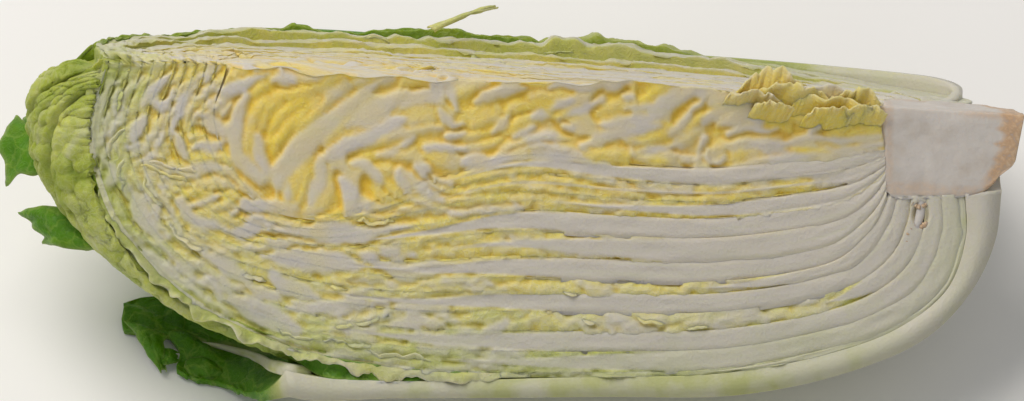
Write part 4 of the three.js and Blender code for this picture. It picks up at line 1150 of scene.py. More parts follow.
def heart_bed(flesh, reliefs):
    """The crumpled heart: its relief on both cut faces, and a smooth outside under the leaves."""
    line = np.stack(guide_point(0, np.linspace(0, HEART_LAST_STATION, 900)), 1)
    at, _ = resample(line, HEART_STEP)
    along, out = at[:, 0], at[:, 1]
    full = out - 0.03
    foot = np.maximum(along * 0.97, -104)
    shares = np.linspace(0, 1, HEART_COLUMNS)
    loops, ribs, painted_shades = [], [], []
    steps = [(share, 0) for share in shares] + [(1, 1)]
    for face, order in ((0, steps), (1, steps[::-1])):
        for share, lip in order:
            x = mix(foot, along, share)
            height, white, painted_shade_and_browning = reliefs[face].sample(x, full * share)
            height = height * (0.2 + 0.8 * min(1, share * 10)) - 0.25 * lip
            loops.append(on_face(face, x, full * share + 1.6 * lip, height))
            ribs.append(white)
            painted_shades.append(painted_shade_and_browning)
        if face == 0:
            # The outside lies under the leaves and takes painted shade.
            for step in range(1, HEART_TURNS):
                loops.append(place(along, full, QUARTER * step / HEART_TURNS))
                ribs.append(0 * along)
                painted_shades.append(0.8 + 0 * along)
    loop = np.stack(loops, 1)
    rows, size = loop.shape[:2]
    flow = stacked((np.arange(rows) * HEART_STEP)[:, None], np.arange(size)[None, :] * 0.6, 0.3)
    creases = (HEART_COLUMNS, HEART_COLUMNS + HEART_TURNS)
    flesh.add(loop, loop_faces(rows, size), np.stack(ribs, 1), 0.03, np.stack(painted_shades, 1), flow, creases)


# ---- The core ----------------------------------------------------------------

# The core's rim: [along the head, out from the cut edge].
CORE_LINE = [[89.5, 24.5], [93.3, 26], [95, 27.5], [103, 27.4],
             [114, 26.4], [121, 25.4], [126.5, 23.6], [130, 20.5]]
CORE_ENDS = (93.3, 130)
CORE_SLANT = 0.17                  # the stem's end was cut off at a slant,
CORE_BEVEL = 4.5                   # and its rim is worn back by this much
CORE_COLUMNS = 36                  # across each cut face
CORE_TURNS = 24                    # round the rim
STEM_RINGS = 16                    # from the rim of the stem's end to its middle

# The dried bud: the line of its stalk and of its scales in the front face.
BUD_STALK = [(103.4, 26.5), (103.3, 31), (102.2, 35.5), (100.4, 40)]
BUD_SCALES = [[(100.9, 28.3), (102.6, 29.3), (104.8, 28.4)], [(100.3, 34.2), (102.6, 35.6), (105.2, 34.0)],
              [(101.2, 36.0), (100.0, 38.0), (99.6, 40.5)]]


def bud(flesh):
    """The side bud in its hollow below the core: a pale stalk with torn brown scales."""
    steps = np.arange(40)
    width = 2.7 + 0.3 * noise(steps / 6, 1.1)
    ribbon(flesh, 0, curve_points(BUD_STALK, len(steps)), width, 1.1, 2.0, 0, 1.0, 0.3, 4.0,
           BLADE_PROFILE, -1.3, 0.06)
    steps = np.arange(30)
    for number, scale in enumerate(BUD_SCALES):
        torn = 1.0 + 0.9 * np.abs(noise(steps / 2.3, number * 3.1))
        top = 0.5 + 0.5 * noise(steps / 2.1, number * 5.3)
        ribbon(flesh, 0, curve_points(scale, len(steps)), torn, top, 2.0, 0.15, 1.0, 0.3,
               5.0 + number, BLADE_PROFILE, -0.6, 0.95)


def browned(x, out):
    """How far the core's flesh has browned: most at its end, less at its rim."""
    teeth = 1.8 * noise(out / 1.5, x / 9, 3.3) + 1.2 * noise(out / 4, x / 9, 7.3)
    end = smooth(-2.0, 2.2, x - 126 + 0.4 * np.maximum(0, out - 12) + teeth)
    rim = 0.45 * smooth(20.8, 23.5, out + 0.9 * noise(x / 4, out / 3, 1.2)) * (1 - smooth(26, 27, out))
    arris = 0.5 * (1 - smooth(0.4, 3.2, out)) * smooth(106, 122, x)
    return np.maximum(np.maximum(end, rim), arris)


def core_body(flesh):
    """The core: both cut faces, the rim round it and the rough end of the stem."""
    line = curve_points(CORE_LINE, 70)
    line = np.vstack([line, line[-1:] + [[0.5, -1.2]]])
    along, radius = line[:, 0], line[:, 1]
    end = smooth(*CORE_ENDS, along)
    shares = np.linspace(0, 1, CORE_COLUMNS + 1)
    loops, brown = [], []
    for face, order in ((0, shares[:-1]), (1, shares[::-1][1:])):
        for share in order:
            out = radius * share
            x = along + end * (CORE_SLANT * (radius - out) - CORE_BEVEL * smooth(0.7, 1, share))
            height = 0.4 * noise(x / 9, out / 9, 3 + face) + 0.12 * noise(x / 2, out / 2, 5 + face)
            crease = (np.exp(-((x - 105 - out / 8) / 0.7) ** 2)
                      * smooth(3, 5, out) * (1 - smooth(10, 14, out)))
            height = height + 0.5 * smooth(104, 106, x) - 0.45 * crease - 3 * smooth(92.6, 89.5, x)
            height = height * min(1, share * 8) - 0.7 * smooth(0.95, 1, share)
            loops.append(on_face(face, x, out, height))
            brown.append(np.maximum(browned(x, out), 0.4 * smooth(96, 93.5, x)))
        if face == 0:
            for step in range(CORE_TURNS + 1):
                rim = radius + 0.35 * noise(along / 5, step / 3, 8.0)
                loops.append(place(along - CORE_BEVEL * end, rim, QUARTER * step / CORE_TURNS))
                brown.append(browned(along, 20 + 0 * along))
    loop = np.stack(loops, 1)
    rows, size = loop.shape[:2]
    flow = stacked(loop[..., 0], np.hypot(loop[..., 1], loop[..., 2] - 90), 0.2)
    flesh.add(loop, loop_faces(rows, size), 1.0, 0.3, np.stack(brown, 1), flow)
    bud(flesh)
    stem_end(flesh, loop[-1])


def stem_end(flesh, rim):
    """A rough brown disc over the core's last loop."""
    middle = rim.mean(0)
    rings = []
    for share in np.linspace(1, 0.03, STEM_RINGS):
        ring = middle + (rim - middle) * share
        y, z = ring[:, 1], ring[:, 2]
        rough = 0.5 * noise(y / 3, z / 3, 4.4) + 0.25 * noise(y, z, 2.2)
        ring[:, 0] += rough * (1 - share ** 4) + 0.8 * (1 - share)
        rings.append(ring)
    cap = np.stack(rings, 0)
    flow = stacked(cap[..., 1], cap[..., 2], 9.0)
    flesh.add(cap, loop_faces(STEM_RINGS, len(rim)), 1.0, 0.3, 1.0, flow)


# ---- Overlapping blades on the outside, torn lobes and the tuft at the cut edge

# Free blades on the wrapper: first and last station, first and last angle, how far the free
# edge stands off, its green, and how white its stem is.
FLAPS = [
    (8.2, 10.9, 0.03, 0.42, 0.6, 0.90, 0.3), (9.2, 11.5, 0.22, 0.70, 1.0, 0.84, 0.4),
    (9.9, 11.8, 0.03, 0.30, 0.8, 0.70, 0.2), (7.0, 9.4, 0.03, 0.26, 0.6, 0.88, 0.2),
    (8.0, 10.6, 0.45, 0.95, 1.2, 0.96, 0.3), (10.2, 11.7, 0.55, 1.05, 0.6, 0.78, 0.6),
    (9.5, 11.4, 0.03, 0.20, 0.5, 0.66, 0.1), (10.3, 11.8, 0.25, 0.62, 0.6, 0.72, 0.3),
]
# The same on the next leaf in, where it stands out beyond the wrapper.
TIP_FLAPS = [
    (11.5, 13.0, 0.03, 0.34, 0.3, 0.62, 0.2), (11.4, 13.05, 0.30, 0.72, 0.4, 0.66, 0.3),
    (11.3, 12.9, 0.66, 1.15, 0.4, 0.74, 0.3),
]
FLAP_GRID = (66, 36)
TIP_STATION = 28                   # mm from one station to the next near the tip,
TIP_RADIUS = 50                    # how far the outside lies from the cut edge there,
HEAD_MIDDLE = np.array([-70, 0, 55])     # and a spot well inside the head


def add_flaps(flesh, flaps, index):
    """Free blades that lie on the outside of a leaf: blistered, veined and pale at the rim."""
    for number, (first, last, near, far, lift, tone, white) in enumerate(flaps):
        u, v = unit_grid(*FLAP_GRID)
        lobes = 0.06 * noise(v * 4, number * 3.7) + 0.02 * noise(v * 11, number * 5.1)
        s = first + (last - first) * u * (1 + lobes * u)
        t = (near + far) / 2 + (far - near) * (v - 0.5) * (1 - 0.25 * u ** 4)
        t = t + 0.012 * noise(u * 9, number * 2.3) * (2 * v - 1)
        level = leaf_room(index, s, t)[1]
        x, r = guide_point(level, s)
        base = place(x - bulge(level, s, t, r), r, t)
        normal = normals_of_grid(base)
        normal *= np.sign(np.sum((base - HEAD_MIDDLE) * normal, -1))[..., None]
        run, across = u * TIP_STATION * (last - first), v * (far - near) * TIP_RADIUS
        dome = (0.8 * blisters(run / 4.8, across / 4.2, 5 + number)
                + 0.35 * blisters(run / 2.8, across / 2.6, 11))
        edge = np.clip(np.minimum(np.minimum(v, 1 - v) * 6, (1 - u) * 9), 0, 1)
        ruffle = (1 - edge) * 0.35 * noise(run / 8, across / 6, number + 0.5)
        off = (0.35 + 1.7 * edge + belly(s, t) + lift * np.sin(math.pi * u ** 0.8) * edge ** 0.5
               + 2.1 * (dome - 0.3) * edge + ruffle)
        grid = base + normal * off[..., None]
        stem = 0.4 + 0.1 * noise(u * 2, number)
        vein = np.exp(-((v - stem) / (0.03 + 0.05 * white)) ** 2) * (1 - u ** 2)
        side = np.abs(np.sin(9 * u + 5 * np.abs(v - stem)))
        vein = np.maximum(vein * (0.35 + 0.65 * white), 0.25 * np.exp(-(side / 0.12) ** 2))
        rim = 0.55 * (1 - edge) ** 2
        green = tone + 0.12 * noise(run / 13, across / 13, number * 1.9)
        # Painted shade in the creases between the domes.
        crease = (1 - smooth(0.2, 0.85, dome)) * edge
        sheet(flesh, grid, 0.8, np.clip(np.maximum(vein, rim), 0, 0.95), green, crease, number * 4.1)


HEM_STATIONS = (6.7, 11.4)
HEM_ROOT = 1.2                     # how far inside the cut the frill starts,
HEM_REACH = 1.9                    # how far it stands out below it,
HEM_ENDS = (24, 8)                 # and how long it fades in and out


def add_hem(flesh):
    """The wrapper's frilled edge, along the lower side of the front cut."""
    s = np.linspace(*HEM_STATIONS, 340)
    x, r = guide_point(leaf_room(WRAPPER, s, 0 * s)[1], s)
    tangent = np.gradient(np.stack([x, r], 1), axis=0)
    step = np.hypot(tangent[:, 0], tangent[:, 1])
    tangent /= step[:, None]
    run = np.cumsum(step)[:, None]
    v = np.linspace(0, 1, 9)[None, :]
    ends = smooth(0, HEM_ENDS[0], run) * smooth(run[-1] + 1, run[-1] - HEM_ENDS[1], run)
    reach = HEM_REACH * (1 + noise(run / 4.4, 3.3)) + 1.3 * noise(run / 1.8, 5.5)
    reach = reach * ends
    width = (HEM_ROOT + reach) * v - HEM_ROOT
    height = (0.9 - 1.4 * (1 - v) ** 2 - 1.1 * v ** 2 * reach / 3 + 1.5 * v * noise(run / 2.7, v, 2.7)
              + 0.7 * v * noise(run / 1.3, v, 6.7) + 0.5 * noise(run / 8, 1.3)) * ends - 1.2 * (1 - ends)
    grid = on_face(0, x[:, None] + tangent[:, 1:] * width, r[:, None] - tangent[:, :1] * width, height)
    pale = 0.45 + 0.35 * noise(run / 7, v, 9.1) + 0.3 * v ** 6
    tone = 0.56 + 0.14 * smooth(8.5, 10.5, s)[:, None] + 0.1 * noise(run / 9, v, 4.4) - 0.1 * v ** 4
    # Painted shade, darker towards the frill's root inside the cut.
    sheet(flesh, grid, 0.7, np.clip(pale, 0, 0.9), tone, 0.3 * (1 - v) ** 2, 2.9)


VIEW_STEP = 0.3                    # mm from one column or row of the view to the next
EDGE_COLUMN, EDGE_ROW = 580, 87.5       # where the cut edge's middle lies in the view,
EDGE_RISE = 58                     # and how high up the view, in mm from the head's foot
VIEW_SKEW = 0.0236                 # mm aside for each mm back, as the camera is turned

# Torn lobes: four corners as column, row and height (two at the root, two at the free
# end), how much they are bowed, a seed, and the tone. The roots lie inside the head.
TIP_LOBES = [
    ([(60, 128, 64), (58, 188, 58), (1, 196, 52), (1, 127, 60)], 2.5, 1.7, 1.15),
    ([(52, 121, 65), (54, 160, 60), (12, 152, 56), (22, 122, 62)], 3, 6.1, 1.05),
    ([(100, 262, 50), (84, 220, 53), (10, 220, 46), (38, 258, 42)], 3, 3.9, 1.15),
    ([(106, 260, 49), (94, 236, 52), (48, 234, 44), (60, 254, 42)], 2, 9.2, 1.0),
]
# The lobe that hangs below the loose leaf's fold, its torn end, and the lobe beside it.
LOOSE_LOBES = [
    ([(114, 334, 5), (160, 348, 5), (158, 384, 1.5), (146, 378, 1.5)], 2.2, 1.1, 1.2),
    ([(140, 362, 3), (152, 380, 2), (172, 375, 2), (171, 364, 2.5)], 1.2, 4.4, 1.25),
    ([(214, 374, 3), (218, 390, 1.5), (180, 393, 1.5), (178, 368, 3)], 1.6, 7.4, 1.22),
]
REAR_SHRED = [(424, 26, 48), (432, 30, 48), (497, 3, 49), (486, 4, 49)]


def seen(column, row, height):
    """The spot at a height over the floor that lies at a column and row of the view."""
    rise = EDGE_RISE - (row - EDGE_ROW) * VIEW_STEP
    y = (rise - height * math.cos(CAMERA_ELEVATION)) / math.sin(CAMERA_ELEVATION)
    return [(column - EDGE_COLUMN) * VIEW_STEP - VIEW_SKEW * y, y, height]


def add_lobes(flesh, lobes):
    """Torn lobes between corners given in the view."""
    for corners, bow, seed, tone in lobes:
        scrap(flesh, [seen(*corner) for corner in corners], bow, seed, tone)


def add_shred(flesh):
    """The pale shred that sticks up behind the rear edge."""
    scrap(flesh, [seen(*corner) for corner in REAR_SHRED], 1.2, 2.2, 0.55, 0.25, 0.1, (26, 8))


# Blades that stand up from the heart at the cut edge: first and last along, height, lean,
# white, and where their foot lies across the head.
TUFT = [
    (46, 66, 8.0, 0.75, 0.15, 0.4), (50, 74, 7.0, 0.45, 0.1, -1.5), (58, 82, 6.5, 0.5, 0.6, -0.5),
    (62, 86, 6.0, 0.3, 0.05, -3.2), (72, 88, 6.0, 0.5, 0.1, -1.0), (76, 90, 4.5, 0.1, 0.1, -3.8),
    (42, 58, 5.0, 0.1, 0.3, -2.2), (66, 80, 4.0, 0.0, 0.0, -5.0), (50, 62, 4.0, -0.1, 0.05, -4.6),
]
TUFT_GRID = (76, 16)


def add_tuft(flesh):
    """Frilled yellow blades along the cut edge beside the core."""
    for number, (first, last, tall, lean, white, foot) in enumerate(TUFT):
        u, v = unit_grid(*TUFT_GRID)
        x = mix(first, last, u) + 2.5 * v
        top = tall * 0.85 * np.sin(math.pi * np.clip(u * 0.9 + 0.05, 0, 1)) ** 0.7
        top = top * (1 + 0.2 * noise(u * 6, number * 2.2) + 0.12 * noise(u * 19, number * 1.2))
        sunk = 3.0 - 0.8 * min(foot, 0)
        z = EDGE_HEIGHT - EDGE_SLOPE * x + 0.8 * swell(x, 0) - sunk + (top + sunk) * v
        wave = 1.2 * noise(u * 5, v, number * 1.3) + 0.6 * noise(u * 13, v * 2, number * 3.1)
        wave = wave + 0.15 * noise(u * 29, v * 2, number * 4.3)
        y = foot + wave * (0.3 + v) + lean * top * v ** 1.5
        pale_rim = 0.3 * np.exp(-((v - 1) / 0.12) ** 2)
        blotch = 0.25 * np.clip(noise(u * 14, v, number * 2.7), 0, 1)
        # Painted shade, darker towards each blade's foot.
        sheet(flesh, np.stack([x, y, z], -1), 0.8, white + pale_rim + blotch, 0.09, 0.2 * (1 - v),
              number * 5.7)


# ---- The loose outermost leaf ------------------------------------------------

LOOSE_FRONT, LOOSE_REAR = (1.153, 2.0), (1.66, 2.0)     # inner and outer level
LOOSE_THIN = 1.5                   # the inner level to which its stalk thins at the front,
LOOSE_THINS = (6.2, 8.6)           # and the stations over which it does
LOOSE_PROUD = 4.5                  # how far its rear edge stands up
LOOSE_STATIONS = 9                 # up to which it wraps the head
LOOSE_ROWS = 110                   # along that part,
LOOSE_COLUMNS = 41                 # and round it
LOOSE_BED = 1.6                    # least height of its inner side
SPREAD_ROWS = 90                   # along the blade on the table
SPREAD_STATIONS = 4
LOOSE_SUNK = 0.7                   # share of its way after which it lies flat
# Where the sides of the blade run, in y, from the head to its tip.
FRONT_EDGE = [-62, -52, -47, -44]
REAR_EDGE = [70, 58, 44, 26]
# The tip's outline.
TIP_Y = [-50, -45.5, -42, -34.5, -28, -26.5, -22, -17.5, -15.5, -13.5, -12.5, -12, -8, 5, 40]
TIP_X = [-117, -120, -122, -121, -126, -139, -141, -140.5, -139, -136, -133, -129, -128.5, -127, -124]
# The midrib on the blade, and the fold that runs beside it: (x, y, width).
MIDRIB = [(-118, -28, 0.4), (-113, -30.3, 0.9), (-104, -32.8, 1.6),
          (-94, -36.4, 2.4), (-81, -43, 4.5), (-72, -49, 7)]
FOLD = [(-143, -16, 3), (-136, -19.5, 3), (-128, -23, 3), (-121, -28.5, 3),
        (-115, -33.5, 2.4), (-106, -39, 1.6), (-98, -43.5, 1)]
# The midrib where it comes down from the stalk onto the blade: (x, y, height, width).
MIDRIB_TOP = [(-79, -61, 28.5, 3.4), (-83, -63, 31.6, 4.2), (-86.5, -63.6, 33.0, 4.2),
              (-89.2, -61, 31.2, 4.0), (-91.6, -60, 30.4, 3.7), (-93.6, -51.5, 20.5, 3.3),
              (-95.3, -43, 11.0, 3.0), (-98.3, -39.6, 8.2, 2.7), (-101.2, -36, 5.2, 2.3),
              (-104.2, -34, 3.8, 1.9), (-108.5, -32, 3.0, 1.4), (-112.4, -31, 3.0, 1.0),
              (-118, -29.5, 2.0, 0.6)]
MIDRIB_ROWS = 120
MIDRIB_SOFTEN = 6                  # rows to each side over which its line is evened out


def near_line(x, y, line):
    """How many of a line's own widths each spot lies from it, and how far to its left."""
    best, aside = np.full(np.shape(x), 99.0), np.zeros(np.shape(x))
    points, _ = through(line, 60, 1.0)
    step = np.gradient(points, axis=0)
    for (px, py), (dx, dy), wide in zip(points, step, widths_along(line, len(points))):
        gap = np.hypot(x - px, y - py) / wide
        side = ((x - px) * -dy + (y - py) * dx) / wide / math.hypot(dx, dy)
        aside = np.where(gap < best, side, aside)
        best = np.minimum(best, gap)
    return best, aside


def edge_values(values, at):
    """A smooth curve through evenly spaced values, read at shares of its length."""
    points = curve_points([[k, v] for k, v in enumerate(values)], 300)
    return np.interp(at * (len(values) - 1), points[:, 0], points[:, 1])


def loose_front(s):
    """The inner level of the loose leaf's front edge."""
    return LOOSE_FRONT[0] + (LOOSE_THIN - LOOSE_FRONT[0]) * smooth(*LOOSE_THINS, s)


def loose_side(side, stations):
    """The inner (0) or outer (1) side of the part that wraps the head."""
    s, t = np.meshgrid(stations, np.linspace(0, QUARTER, LOOSE_COLUMNS), indexing="ij")
    front = LOOSE_FRONT[1] if side else loose_front(s)
    x, r = guide_point(mix(front, LOOSE_REAR[side], smooth(0, QUARTER, t)), s)
    x = x - 2 * ROOT_TRIM * (1 - smooth(0, 2.6, s)) * smooth(0.5, QUARTER, t)
    grid = place(x, r, t)
    proud = LOOSE_PROUD * math.sqrt(0.5) * smooth(0.5, 3, stations)[:, None]
    edge = grid[:, -1] + proud * [0, 1, 1]
    half = (grid[:, -1] + edge) / 2
    grid = np.concatenate([grid, half[:, None], edge[:, None]], 1)
    grid[..., 2] = np.maximum(grid[..., 2], 0 if side else LOOSE_BED)
    return grid


def loose_spread(outer_end, inner_end, along):
    """The lower and upper side of the blade that has sunk to the table."""
    across = np.linspace(0, 1, len(outer_end))[None, :]
    rim = np.abs(2 * across - 1) ** 3
    y = mix(edge_values(FRONT_EDGE, along), edge_values(REAR_EDGE, along), across ** 1.4)
    y = y + rim * (1.2 * noise(along * 11, across * 2, 3.1) + 0.8 * noise(along * 25, across * 2, 6.1))
    x = mix(outer_end[None, :, 0], np.interp(y, TIP_Y, TIP_X) + 1.2 * noise(y / 5, 3.3), along)
    sunk = smooth(0, LOOSE_SUNK, along)
    ripple = 1.6 + 1.4 * noise(x / 11, y / 11, 1.1) + 0.7 * noise(x / 4.5, y / 4.5, 2.1)
    gap, aside = near_line(x, y, FOLD)
    rolled = 7.5 * smooth(-95, -121, x) * np.exp(-np.where(aside > 0, gap / 0.7, gap / 1.5) ** 2)
    stem, _ = near_line(x, y, MIDRIB)
    rise = (0.3 + 0.7 * along) * (0.6 + 1.2 * rim) * ripple * sunk
    rise = rise + rolled * sunk + 1.2 * np.exp(-stem ** 2)
    spread = stacked(x, y, rise * (0.35 + 0.65 * rim) + 0.2)
    start = np.broadcast_to(outer_end[None], spread.shape).copy()
    start[..., 0] = x
    lower = mix(start, spread, sunk[..., None])
    bumps = 1.3 * blisters(x / 8, y / 8, 3) + 0.6 * blisters(x / 4, y / 4, 9)
    bumps = bumps * smooth(0.1, 0.4, along) * (1 - np.exp(-stem ** 4))
    joined = (1 - along) ** 5
    upper = lower + (inner_end - outer_end)[None] * joined[..., None]
    upper[..., 2] += BLADE * (1 - joined) + bumps
    return lower, upper


def loose_body(flesh):
    """The loose leaf: its stalk under the head, and its blade on the table."""
    stations = np.linspace(0, LOOSE_STATIONS, LOOSE_ROWS)
    along = (np.arange(1, SPREAD_ROWS + 1) / SPREAD_ROWS)[:, None]
    inner, outer = (loose_side(side, stations) for side in (0, 1))
    lower, upper = loose_spread(outer[-1], inner[-1], along)
    outer, inner = np.concatenate([outer, lower]), np.concatenate([inner, upper])
    loop = np.concatenate([outer, inner[:, ::-1]], 1)
    n, size = outer.shape[1], loop.shape[1]
    across = np.linspace(0, 1, n)
    reach = np.concatenate([stations, LOOSE_STATIONS + SPREAD_STATIONS * along[:, 0]])[:, None]
    column = np.concatenate([across, across[::-1]])[None, :]
    midrib = np.exp(-near_line(loop[..., 0], loop[..., 1], MIDRIB)[0] ** 4) * (loop[..., 2] < 20)
    green = smooth(3.5, 8.5, reach + 1.5 * noise(reach * 2, column * 6, 1.4))
    inside = (np.arange(size) >= n)[None, :]
    green_side = inside * smooth(5.8, 6.8, reach) * smooth(0, 0.06, column)
    stalk = (1 - smooth(0.25, 0.5, column)) * (1 - smooth(8.9, 10.2, reach)) * (1 - green_side)
    rib = np.clip(np.maximum(np.maximum(1 - green, midrib), stalk), 0, 1)
    stalk_tone = np.interp(reach, [0.5, 2.5, 5, 7, 8.5, 10], [0.42, 0.5, 0.7, 0.68, 0.56, 0.5])
    tone = mix(stalk_tone, 1.25, green * (1 - stalk))
    steps = np.linalg.norm(np.diff(loop[:, n // 2], axis=0), axis=1)
    run = np.cumsum(np.concatenate([[0], steps]))[:, None]
    flesh.add(loop, loop_faces(len(loop), size), rib, tone, 0.0, stacked(run, column * 90, 7.7))


def add_loose_fill(flesh):
    """The green blade that shows between the loose leaf's stalk and the head."""
    s = np.linspace(7.3, 9.3, 110)
    taper = smooth(7.2, 8.0, s) * (1 - 0.97 * smooth(8.5, 9.3, s))
    v = np.linspace(0, 1, 9)[None, :] * taper[:, None]
    head = np.stack(guide_point(leaf_room(WRAPPER, s, 0 * s)[1], s), 1) - [0, 1.2]
    rim = np.stack(guide_point(loose_front(s), s), 1) + [0, 0.8]
    x, r = (mix(head[:, None, k], rim[:, None, k], v) for k in (0, 1))
    height = -0.9 - 1.3 * np.sin(math.pi * v) - 7 * smooth(8.5, 9.3, s)[:, None] * v
    height = height + 0.9 * blisters(x / 4, r / 4, 13) + 0.5 * noise(x / 7, r / 3, 1.9)
    # The blade takes a little painted shade all over.
    sheet(flesh, on_face(0, x, r, height), 0.9, 0.25 * smooth(0.7, 1, v), 1.15, 0.2, 6.4)


def add_loose_midrib(flesh):
    """The midrib, from the end of the stalk down onto the blade."""
    share, spots = np.linspace(0, 1, MIDRIB_ROWS), np.linspace(0, 1, len(MIDRIB_TOP))
    window = 2 * MIDRIB_SOFTEN + 1
    path = []
    for column in zip(*MIDRIB_TOP):
        padded = np.pad(np.interp(share, spots, column), MIDRIB_SOFTEN, "edge")
        path.append(np.convolve(padded, np.ones(window) / window, "valid"))
    path = np.stack(path, 1)
    line, width = path[:, None, :3], path[:, None, 3:]
    toward = np.array([0, -math.cos(CAMERA_ELEVATION), math.sin(CAMERA_ELEVATION)])
    aside = np.cross(np.gradient(path[:, :3], axis=0), toward)
    aside /= np.linalg.norm(aside, axis=1)[:, None]
    v = np.linspace(-0.5, 0.5, 9)[None, :, None]
    grid = line + aside[:, None] * v * width + toward * (0.9 - 3.2 * v ** 2)
    shade = 0.1 * noise(np.arange(MIDRIB_ROWS)[:, None] / 9, v[..., 0] * 4, 3.9)
    sheet(flesh, grid, 0.8, 0.95, 0.64 + shade, 0.0, 8.8)


# ---- Materials ---------------------------------------------------------------

PER_METRE = (1000, 1000, 1000)     # object coordinates are metres, and patterns are in mm
FACTOR, COLOUR_A, COLOUR_B, MIXED = 0, 6, 7, 2      # sockets of a colour mix


def linear(code):
    """An sRGB hex colour as linear RGBA."""
    parts = [int(code[k:k + 2], 16) / 255 for k in (1, 3, 5)]
    return [v / 12.92 if v <= 0.04045 else ((v + 0.055) / 1.055) ** 2.4 for v in parts] + [1.0]


def add(tree, kind, inputs, stops=(), out=0, **settings):
    """Adds a node with its settings, its inputs as values or links, and a ramp's stops.

    What it gives back is one of the node's outputs, by its number or name."""
    node = tree.nodes.new("ShaderNode" + kind)
    for key, value in settings.items():
        setattr(node, key, value)
    for key, value in inputs.items():
        if isinstance(value, bpy.types.NodeSocket):
            tree.links.new(value, node.inputs[key])
        else:
            node.inputs[key].default_value = value
    for _ in stops[2:]:
        node.color_ramp.elements.new(0.5)
    for k, (position, code) in enumerate(stops):
        node.color_ramp.elements[k].position = position
        node.color_ramp.elements[k].color = linear(code)
    return node.outputs[out]


# The leaf's patterns, in mm.
PATCH = 9.09                       # paler and darker areas
MOTTLE = 2.222                     # fine paler spots on the blade
VEIN_NET = 7.69                    # from one vein of a green blade to the next
VEIN_BENDS = 5.0                   # the veins' bends,
VEIN_SWING = (6, 6, 6)             # and how far they swing
CRUMPLE = 2.381                    # crumples of a blade
GRAIN = 0.909                      # the finest bumps
STREAK_SCALE = (0.03, 0.65, 1)     # streaks along a rib: 33 long, 1.5 wide


